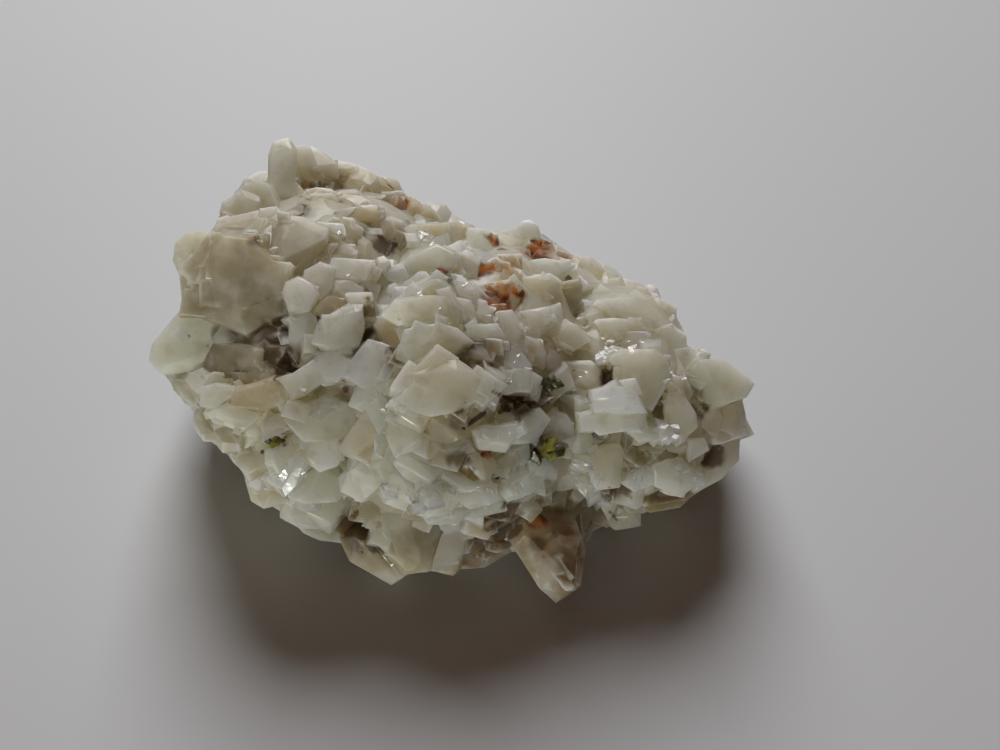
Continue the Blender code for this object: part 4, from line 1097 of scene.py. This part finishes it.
def build_cluster():
    rng = random.Random(SEED)
    gather = Gathered("to_join")
    cores = []
    for centre, half in BODY:
        bm = lobe_mesh(centre, half, rng)
        cores.append(gather.add(bm, (0.64, 0.62, 0.49), Vector((0, 0, 1)), 0.5))
    for name, kind, lift, outline, _ in CENTRES:
        points, size, facing, through, rim = outlined_crystal(
            outline, lift, rng, flat=kind == "v"
        )
        grain = Vector([rng.uniform(-1, 1) for _ in range(3)]).normalized()
        bright = kind == "v"
        milk = 0.25 if bright else 1.0
        gather.add(chunk(points, size, rng), painted_light_shade_and_tan(tinted(kind, rng), through), grain, milk)
        if size > 1.5 and kind not in "bd":
            for points, small in side_blocks(through, rim, facing, size, rng, bright):
                colour = painted_light_shade_and_tan(tinted(kind, rng, 0.08), through)
                gather.add(chunk(points, small, rng), colour, grain, rng.random() * milk)
    front_fill(gather, rng)
    rim_fill(gather, random.Random(SEED + 5))
    hidden_crystals(gather, rng, 4.1, (4.6, 8.2), (0.3, 1.5), "ccggwwtlps")
    hidden_crystals(gather, rng, 2.7, (2.6, 4.6), (-0.3, 1.0), "ccggwwttlps", seed_phase=1.3)
    hidden_crystals(gather, rng, 1.9, (1.3, 2.6), (-0.6, 0.5), "ccggwwttlo", seed_phase=2.1)
    print("crystals", gather.count)

    cluster = gather.joined()
    bpy.context.scene.collection.objects.link(cluster)
    cluster.name = "albite_visual"

    bm = bmesh.new()
    bmesh.ops.create_cube(bm, size=1.0)
    bmesh.ops.scale(bm, vec=(0.2, 0.2, 0.05), verts=bm.verts)
    bmesh.ops.translate(bm, vec=(0, 0, -0.025), verts=bm.verts)
    base = gather.add(bm, (0.5, 0.45, 0.36), Vector((0, 0, 1)))
    base.data.transform(Matrix.Scale(1 / MM, 4))
    boolean(cluster, "DIFFERENCE", base)
    made_real(cluster)
    gather.clear()
    cluster = with_glints(cluster, rng)
    cluster.name = "albite_visual"
    keep_largest(cluster.data)
    weathered(cluster.data, FINE, places=marked_places(cluster.data))
    cluster.data.name = "albite_visual"
    return cluster


def lined(spots):
    """Neighbouring spots of a row drawn out into one narrow line."""
    made = []
    for (u1, v1, r1, k1), (u2, v2, r2, k2) in zip(spots, spots[1:]):
        steps = max(1, round(math.hypot(u2 - u1, v2 - v1) / 2.2))
        if steps > 7:
            made.append((u1, v1, 0.45 * r1, k1))
            continue
        for i in range(steps):
            x = i / steps
            made.append((u1 + (u2 - u1) * x, v1 + (v2 - v1) * x, 0.45 * r1, k1))
    return tuple(made)


def marked_places(mesh):
    """Where the small marks lie on the surface, and how far round each one."""
    tree = BVHTree.FromPolygons(
        [v.co.copy() for v in mesh.vertices], [tuple(f.vertices) for f in mesh.polygons]
    )
    places = []
    for spots, most, beyond in ((RUST + FILM_AND_SHADE, 13, 0.2), (lined(SLITS), 9, 0.1)):
        for u, v, radius, _ in spots:
            hit, _ = ray_to_surface(tree, u, v)
            if hit is not None and radius < most:
                places.append((hit, 1.2 * radius * UNIT + beyond))
    return places


def weathered(mesh, fine, amount=0.06, places=(), finest=0.24):
    """The faces split to an even size and made slightly uneven, with chips along the edges."""
    bm = bmesh.new()
    bm.from_mesh(mesh)
    bmesh.ops.triangulate(bm, faces=[f for f in bm.faces if len(f.verts) > 3])
    finder = KDTree(max(1, len(places)))
    for i, (p, _) in enumerate(places):
        finder.insert(p, i)
    finder.balance()
    for _ in range(5 if places else 0):
        near = []
        for e in bm.edges:
            if e.calc_length() < finest * MM:
                continue
            mid = (e.verts[0].co + e.verts[1].co) / (2 * MM)
            half = e.calc_length() / (2 * MM)
            if any(d < places[i][1] + half for _, i, d in finder.find_n(mid, 3)):
                near.append(e)
        if not near:
            break
        bmesh.ops.subdivide_edges(bm, edges=near, cuts=1)
        bmesh.ops.triangulate(bm, faces=[f for f in bm.faces if len(f.verts) > 3])
    for _ in range(3):
        long = [e for e in bm.edges if e.calc_length() > fine * MM]
        if not long:
            break
        bmesh.ops.subdivide_edges(bm, edges=long, cuts=1)
        bmesh.ops.triangulate(bm, faces=[f for f in bm.faces if len(f.verts) > 3])
    bm.normal_update()
    moves = []
    for v in bm.verts:
        if v.co.z < 0.2 * MM:
            moves.append(None)
            continue
        p = v.co / MM
        turn = min((f.normal.dot(v.normal) for f in v.link_faces), default=1)
        edge = min(1.0, 3 * (1 - turn))
        wave = noise.noise(p * 0.7) * 0.9 + noise.noise(p * 2.1) * 0.55
        chip = max(0.0, noise.noise(p * 1.3 + Vector((7, 3, 1)))) * edge
        moves.append(v.normal * ((amount * wave - 0.12 * chip) * MM))
    for v, move in zip(bm.verts, moves):
        if move:
            v.co += move
    bm.to_mesh(mesh)
    bm.free()


def keep_largest(mesh):
    """Drops the closed voids between crystals and any crumb that touches nothing."""
    n = len(mesh.vertices)
    edges = np.empty(len(mesh.edges) * 2, np.int32)
    mesh.edges.foreach_get("vertices", edges)
    edges = edges.reshape(-1, 2)
    group = np.arange(n)
    while True:
        low = np.minimum(group[edges[:, 0]], group[edges[:, 1]])
        new = group.copy()
        np.minimum.at(new, edges[:, 0], low)
        np.minimum.at(new, edges[:, 1], low)
        new = new[new]
        if (new == group).all():
            break
        group = new
    names, counts = np.unique(group, return_counts=True)
    keep = group == names[counts.argmax()]
    bm = bmesh.new()
    bm.from_mesh(mesh)
    bm.verts.ensure_lookup_table()
    bmesh.ops.delete(bm, geom=[bm.verts[i] for i in np.nonzero(~keep)[0]], context="VERTS")
    bm.to_mesh(mesh)
    bm.free()


# ---------------------------------------------------------------- what the surface carries
def ray_to_surface(tree, u, v):
    eye = MIDDLE + TOWARDS * EYE
    line = (seen_at(u, v) - eye).normalized()
    hit, normal, index, _ = tree.ray_cast(eye * MM, line)
    return (hit / MM, normal) if hit else (None, None)


def surface_facts(obj, rng):
    """Per point: how closed in it is, how much rust it carries, and how much brown film and painted shade."""
    mesh = obj.data
    n = len(mesh.vertices)
    co = np.empty(n * 3, np.float32)
    mesh.vertices.foreach_get("co", co)
    co = co.reshape(-1, 3)
    tree = BVHTree.FromPolygons(
        [Vector(p) for p in co], [tuple(f.vertices) for f in mesh.polygons]
    )
    normals = [v.normal.copy() for v in mesh.vertices]
    rays = []
    for i in range(11):
        z = 0.25 + 0.7 * (i + 0.5) / 11
        a = i * math.pi * (3 - math.sqrt(5))
        r = math.sqrt(1 - z * z)
        rays.append((r * math.cos(a), r * math.sin(a), z))
    reach = 3.5 * MM
    closed = np.zeros(n, np.float32)
    for i in range(n):
        nrm = normals[i]
        side = nrm.orthogonal().normalized()
        other = nrm.cross(side)
        start = Vector(co[i]) + nrm * (0.03 * MM)
        total = 0.0
        for x, y, z in rays:
            d = side * x + other * y + nrm * z
            hit = tree.ray_cast(start, d, reach)
            if hit[0] is not None:
                total += 1 - hit[3] / reach
        closed[i] = total / len(rays)
    put(mesh, "closed_in", closed)

    bm = bmesh.new()
    bm.from_mesh(mesh)
    bm.verts.index_update()
    edge = np.zeros(n, np.float32)
    for e in bm.edges:
        if len(e.link_faces) == 2 and e.is_convex:
            turn = 1.6 * (1 - e.link_faces[0].normal.dot(e.link_faces[1].normal))
            for v in e.verts:
                edge[v.index] = max(edge[v.index], min(1.0, turn))
    bm.free()
    put(mesh, "edge", edge)

    rust = np.zeros(n, np.float32)
    # brown film, and painted shade where the marks lie in the valley and the gaps
    film_and_shade = np.zeros(n, np.float32)
    ragged = np.array([noise.noise(Vector(p) * (1.1 / MM)) for p in co], np.float32)
    for target, spots in ((rust, RUST), (film_and_shade, FILM_AND_SHADE + lined(SLITS))):
        for u, v, radius, strength in spots:
            hit, _ = ray_to_surface(tree, u, v)
            if hit is None:
                continue
            d = np.linalg.norm(co - np.array(hit * MM), axis=1) / (radius * UNIT * MM)
            d = d + 0.55 * ragged
            np.maximum(target, strength * np.clip(1.6 - d, 0, 1), out=target)
    # rust and brown film also lie in hollows of the hidden sides
    for _ in range(26):
        i = rng.randrange(n)
        if normals[i].dot(TOWARDS) > 0 or (Vector(co[i]) / MM - MIDDLE).dot(TOWARDS) > 2:
            continue
        d = np.linalg.norm(co - co[i], axis=1) / (rng.uniform(0.8, 2.2) * MM)
        target = rust if rng.random() < 0.4 else film_and_shade
        np.maximum(target, rng.uniform(0.4, 0.9) * np.clip(1.5 - d, 0, 1), out=target)
    put(mesh, "rust", rust)
    put(mesh, "film_and_shade", film_and_shade)
    return tree


def put(mesh, name, values):
    layer = mesh.attributes.new(name, "FLOAT", "POINT")
    layer.data.foreach_set("value", np.asarray(values, np.float32))


# ---------------------------------------------------------------- materials
class Tree:
    """Short names for making the nodes of one material."""

    def __init__(self, name):
        self.mat = bpy.data.materials.new(name)
        self.mat.use_nodes = True
        self.nodes = self.mat.node_tree.nodes
        self.links = self.mat.node_tree.links
        self.shader = self.nodes["Principled BSDF"]

    def node(self, kind, **settings):
        made = self.nodes.new(kind)
        for key, value in settings.items():
            setattr(made, key, value)
        return made

    def set(self, socket, value):
        if hasattr(value, "is_output"):
            self.links.new(value, socket)
        else:
            socket.default_value = value

    def attribute(self, name, output="Fac"):
        return self.node("ShaderNodeAttribute", attribute_name=name).outputs[output]

    def place(self, scale=1.0):
        out = self.node("ShaderNodeTexCoord").outputs["Object"]
        if scale != 1.0:
            mapping = self.node("ShaderNodeMapping")
            self.links.new(out, mapping.inputs["Vector"])
            mapping.inputs["Scale"].default_value = (scale,) * 3
            out = mapping.outputs["Vector"]
        return out

    def noise(self, per_mm, detail=4.0, rough=0.55, distortion=0.0, where=None):
        made = self.node("ShaderNodeTexNoise")
        self.links.new(where or self.place(), made.inputs["Vector"])
        made.inputs["Scale"].default_value = per_mm * 1000
        made.inputs["Detail"].default_value = detail
        made.inputs["Roughness"].default_value = rough
        made.inputs["Distortion"].default_value = distortion
        return made.outputs["Fac"]

    def ramp(self, value, low, high, out_low=0.0, out_high=1.0):
        made = self.node("ShaderNodeMapRange", interpolation_type="SMOOTHSTEP")
        self.set(made.inputs["Value"], value)
        made.inputs["From Min"].default_value = low
        made.inputs["From Max"].default_value = high
        made.inputs["To Min"].default_value = out_low
        made.inputs["To Max"].default_value = out_high
        return made.outputs["Result"]

    def math(self, operation, a, b=0.0, clamp=False):
        made = self.node("ShaderNodeMath", operation=operation, use_clamp=clamp)
        self.set(made.inputs[0], a)
        self.set(made.inputs[1], b)
        return made.outputs[0]

    def mix(self, factor, a, b, blend="MIX"):
        made = self.node("ShaderNodeMix", data_type="RGBA", blend_type=blend)
        self.set(made.inputs[0], factor)
        for socket, value in ((made.inputs[6], a), (made.inputs[7], b)):
            if isinstance(value, tuple) and len(value) == 3:
                value = (*value, 1.0)
            self.set(socket, value)
        return made.outputs[2]

    def bump(self, height, strength, distance, normal=None):
        made = self.node("ShaderNodeBump")
        made.inputs["Strength"].default_value = strength
        made.inputs["Distance"].default_value = distance * MM
        self.links.new(height, made.inputs["Height"])
        if normal:
            self.links.new(normal, made.inputs["Normal"])
        return made.outputs["Normal"]


def albite_material():
    t = Tree("albite_surface")
    s = t.shader
    tint = t.attribute("tint", "Color")
    closed = t.attribute("closed_in")
    cloud = t.noise(0.35, 5)
    veil = t.noise(0.9, 2, 0.5)
    # milky clouds and faint cream veils inside each crystal
    colour = t.mix(t.ramp(cloud, 0.4, 0.66, 0.0, 0.42), tint, (0.78, 0.775, 0.71))
    stain = t.noise(0.14, 3, 0.6)
    colour = t.mix(t.ramp(stain, 0.44, 0.66, 0.0, 0.4), colour, (0.62, 0.53, 0.34))
    colour = t.mix(t.ramp(veil, 0.52, 0.72, 0.0, 0.42), colour, (0.50, 0.455, 0.33))
    # painted light: crystals are paler along their thin edges, as if light glowed through them
    painted_edge_light = t.math("MULTIPLY", t.ramp(t.attribute("edge"), 0.25, 1.0), t.ramp(cloud, 0.35, 0.6, 0.35, 1.0))
    colour = t.mix(t.math("MULTIPLY", painted_edge_light, 0.55), colour, (0.86, 0.86, 0.78))
    # brown film and painted shade in the hollows: darker where the surface is closed in, and where the marked films
    # and shade lie
    hollow_shade_and_film = t.math("MULTIPLY", t.ramp(closed, 0.38, 0.75), t.ramp(veil, 0.30, 0.62, 0.35, 1.0))
    colour = t.mix(t.math("MULTIPLY", hollow_shade_and_film, 0.12), colour, (0.17, 0.12, 0.065))
    film_and_shade = t.math("MULTIPLY", t.attribute("film_and_shade"), t.ramp(t.noise(0.9, 2, 0.5), 0.22, 0.52))
    film_and_shade = t.math("MULTIPLY", film_and_shade, t.ramp(closed, 0.05, 0.38, 0.62, 1.3))
    film_and_shade = t.ramp(film_and_shade, 0.08, 0.6, 0.0, 0.93)
    colour = t.mix(film_and_shade, colour, (0.12, 0.075, 0.032))
    rust = t.math("MULTIPLY", t.attribute("rust"), t.ramp(closed, 0.05, 0.45, 0.6, 1.25))
    rust = t.math("ADD", rust, t.math("MULTIPLY", t.noise(0.9, 3, 0.6), 0.8))
    rust = t.ramp(rust, 0.62, 1.0)
    rust_colour = t.mix(t.ramp(t.noise(1.2, 3), 0.4, 0.62), (0.55, 0.21, 0.04), (0.14, 0.04, 0.014))
    colour = t.mix(t.math("MULTIPLY", rust, 0.92), colour, rust_colour)
    t.set(s.inputs["Base Color"], colour)
    rough = t.ramp(t.noise(0.6, 3), 0.3, 0.7, 0.34, 0.58)
    rough = t.math("MULTIPLY", rough, t.ramp(t.attribute("tint", "Alpha"), 0.0, 0.7, 0.24, 1.0))
    t.set(s.inputs["Roughness"], t.math("ADD", rough, t.math("MULTIPLY", rust, 0.2), clamp=True))
    s.inputs["IOR"].default_value = 1.53
    s.inputs["Specular IOR Level"].default_value = 0.48
    s.inputs["Transmission Weight"].default_value = 0.25
    s.inputs["Subsurface Weight"].default_value = 1.0
    s.inputs["Subsurface Radius"].default_value = (1.0, 0.95, 0.8)
    s.inputs["Subsurface Scale"].default_value = 8.0 * MM
    s.inputs["Subsurface Anisotropy"].default_value = 0.3
    # cleavage lines run one way in each crystal
    dot = t.node("ShaderNodeVectorMath", operation="DOT_PRODUCT")
    t.links.new(t.place(), dot.inputs[0])
    t.links.new(t.attribute("grain", "Vector"), dot.inputs[1])
    along = t.node("ShaderNodeCombineXYZ")
    t.links.new(dot.outputs["Value"], along.inputs["X"])
    lines = t.noise(1.6, 2, 0.5, where=along.outputs["Vector"])
    patches = t.ramp(t.noise(0.8, 2), 0.45, 0.6)
    normal = t.bump(t.math("MULTIPLY", lines, patches), 0.25, 0.06)
    normal = t.bump(t.noise(1.2, 2, 0.5), 0.3, 0.10, normal)
    t.links.new(normal, s.inputs["Normal"])
    return t.mat


def green_material(name, seed):
    t = Tree(name)
    s = t.shader
    tint = t.attribute("tint", "Color")
    blotch = t.noise(1.4 + seed * 0.1, 4, 0.6)
    colour = t.mix(t.ramp(blotch, 0.48, 0.66, 0.0, 0.75), tint, (0.045, 0.047, 0.012))
    colour = t.mix(t.ramp(t.noise(3.1, 3), 0.58, 0.75, 0, 0.5), colour, (0.50, 0.47, 0.16))
    t.set(s.inputs["Base Color"], colour)
    t.set(s.inputs["Roughness"], t.ramp(t.noise(3.0, 3), 0.3, 0.7, 0.16, 0.45))
    s.inputs["IOR"].default_value = 1.7
    s.inputs["Subsurface Weight"].default_value = 0.25
    s.inputs["Subsurface Radius"].default_value = (0.6, 0.8, 0.2)
    s.inputs["Subsurface Scale"].default_value = 0.4 * MM
    normal = t.bump(t.noise(4.0, 4), 0.5, 0.08)
    t.links.new(normal, s.inputs["Normal"])
    return t.mat


def floor_material():
    t = Tree("pale_floor")
    s = t.shader
    colour = t.mix(t.noise(0.01, 3), (0.59, 0.61, 0.64), (0.61, 0.63, 0.66))
    t.set(s.inputs["Base Color"], colour)
    s.inputs["Roughness"].default_value = 0.55
    return t.mat


# ---------------------------------------------------------------- the green crystals
def green_pieces(rng):
    made = []
    for name, lift, outline, kind in GREEN:
        lo, hi = [Vector(c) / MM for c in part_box(name)]
        centre = (lo + hi) / 2
        ring = corners_of(outline)
        middle = sum(ring, Vector((0, 0))) / len(ring)
        towards = (centre - MIDDLE).dot(TOWARDS)
        gather = Gathered(f"join_{name}")
        across = math.sqrt(polygon_area(ring))
        parts = []
        n = 7 if kind == "green" else 5
        for i in range(n):
            a = math.tau * i / n + rng.uniform(-0.3, 0.3)
            uv = middle + Vector((0.44 * math.cos(a), 0.22 * math.sin(a))) * across
            p = on_plane(uv.x, uv.y, seen_at(middle.x, middle.y, towards + 1.2), TOWARDS)
            out = (TOWARDS + 0.5 * RIGHT * math.cos(a) - 0.5 * UP * math.sin(a)).normalized()
            s = across * UNIT * rng.uniform(0.36, 0.54)
            points = block_crystal(p, out, rng, s * 0.7, s, 0.3)
            if kind == "dark":
                colour = rng.choice(((0.10, 0.12, 0.045), (0.05, 0.06, 0.02)))
            else:
                side = math.cos(a)
                dark = side < -0.1 or side > 0.85
                colour = (0.05, 0.048, 0.014) if dark else (0.27, 0.25, 0.03)
            parts.append(gather.add(chunk(points, s, rng), colour, out))
        points, size, facing, _, _ = outlined_crystal(outline, lift - 0.7, rng, spread=0.62)
        bm = chunk(points, size, rng)
        gather.add(bm, (0.22, 0.21, 0.03) if kind == "green" else (0.07, 0.085, 0.03), facing)
        body = gather.joined()
        bpy.context.scene.collection.objects.link(body)
        gather.clear()
        keep_largest(body.data)
        weathered(body.data, 0.3, 0.02)
        body.name = body.data.name = f"{name}_visual"
        body.data.validate()
        body.data.shade_smooth()
        body.data.set_sharp_from_angle(angle=math.radians(28))
        mat = green_material(name, 1 if kind == "green" else 2)
        body.data.materials.clear()
        body.data.materials.append(mat)
        made.append((name, body))
    return made


# ---------------------------------------------------------------- floor, light and camera
def stage():
    bpy.ops.mesh.primitive_plane_add(size=3.0, location=(0, 0, 0))
    floor = bpy.context.object
    floor.name = "floor"
    floor.data.materials.append(floor_material())

    world = bpy.data.worlds.new("soft")
    world.use_nodes = True
    back = world.node_tree.nodes["Background"]
    back.inputs["Color"].default_value = (1.0, 0.34, 0.13, 1)
    back.inputs["Strength"].default_value = 0.045
    bpy.context.scene.world = world

    for name, place, size, power, colour in LIGHTS:
        data = bpy.data.lights.new(name, "AREA")
        data.shape = "ELLIPSE"
        data.size, data.size_y = size
        data.energy = power
        data.color = colour
        lamp = bpy.data.objects.new(name, data)
        lamp.location = place
        lamp.rotation_euler = (-Vector(place)).to_track_quat("-Z", "Y").to_euler()
        bpy.context.scene.collection.objects.link(lamp)

    data = bpy.data.cameras.new("view")
    data.lens, data.sensor_width = 50, 36
    data.clip_start, data.clip_end = 0.01, 10
    camera = bpy.data.objects.new("view", data)
    camera.location = (MIDDLE + TOWARDS * EYE) * MM
    camera.rotation_euler = Matrix((RIGHT, UP, TOWARDS)).transposed().to_euler()
    bpy.context.scene.collection.objects.link(camera)
    bpy.context.scene.camera = camera
    bpy.context.scene.view_settings.view_transform = "Standard"


def main():
    rng = random.Random(SEED + 5)
    cluster = build_cluster()
    surface_facts(cluster, rng)
    mesh = cluster.data
    mesh.validate()
    mesh.shade_smooth()
    mesh.set_sharp_from_angle(angle=math.radians(16))
    mesh.materials.clear()
    mesh.materials.append(albite_material())
    print("cluster", len(mesh.polygons), "faces")
    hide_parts("albite_cluster")
    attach(cluster, "root")
    for name, piece in green_pieces(random.Random(SEED + 9)):
        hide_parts(name)
        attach(piece, "root")
    stage()


main()
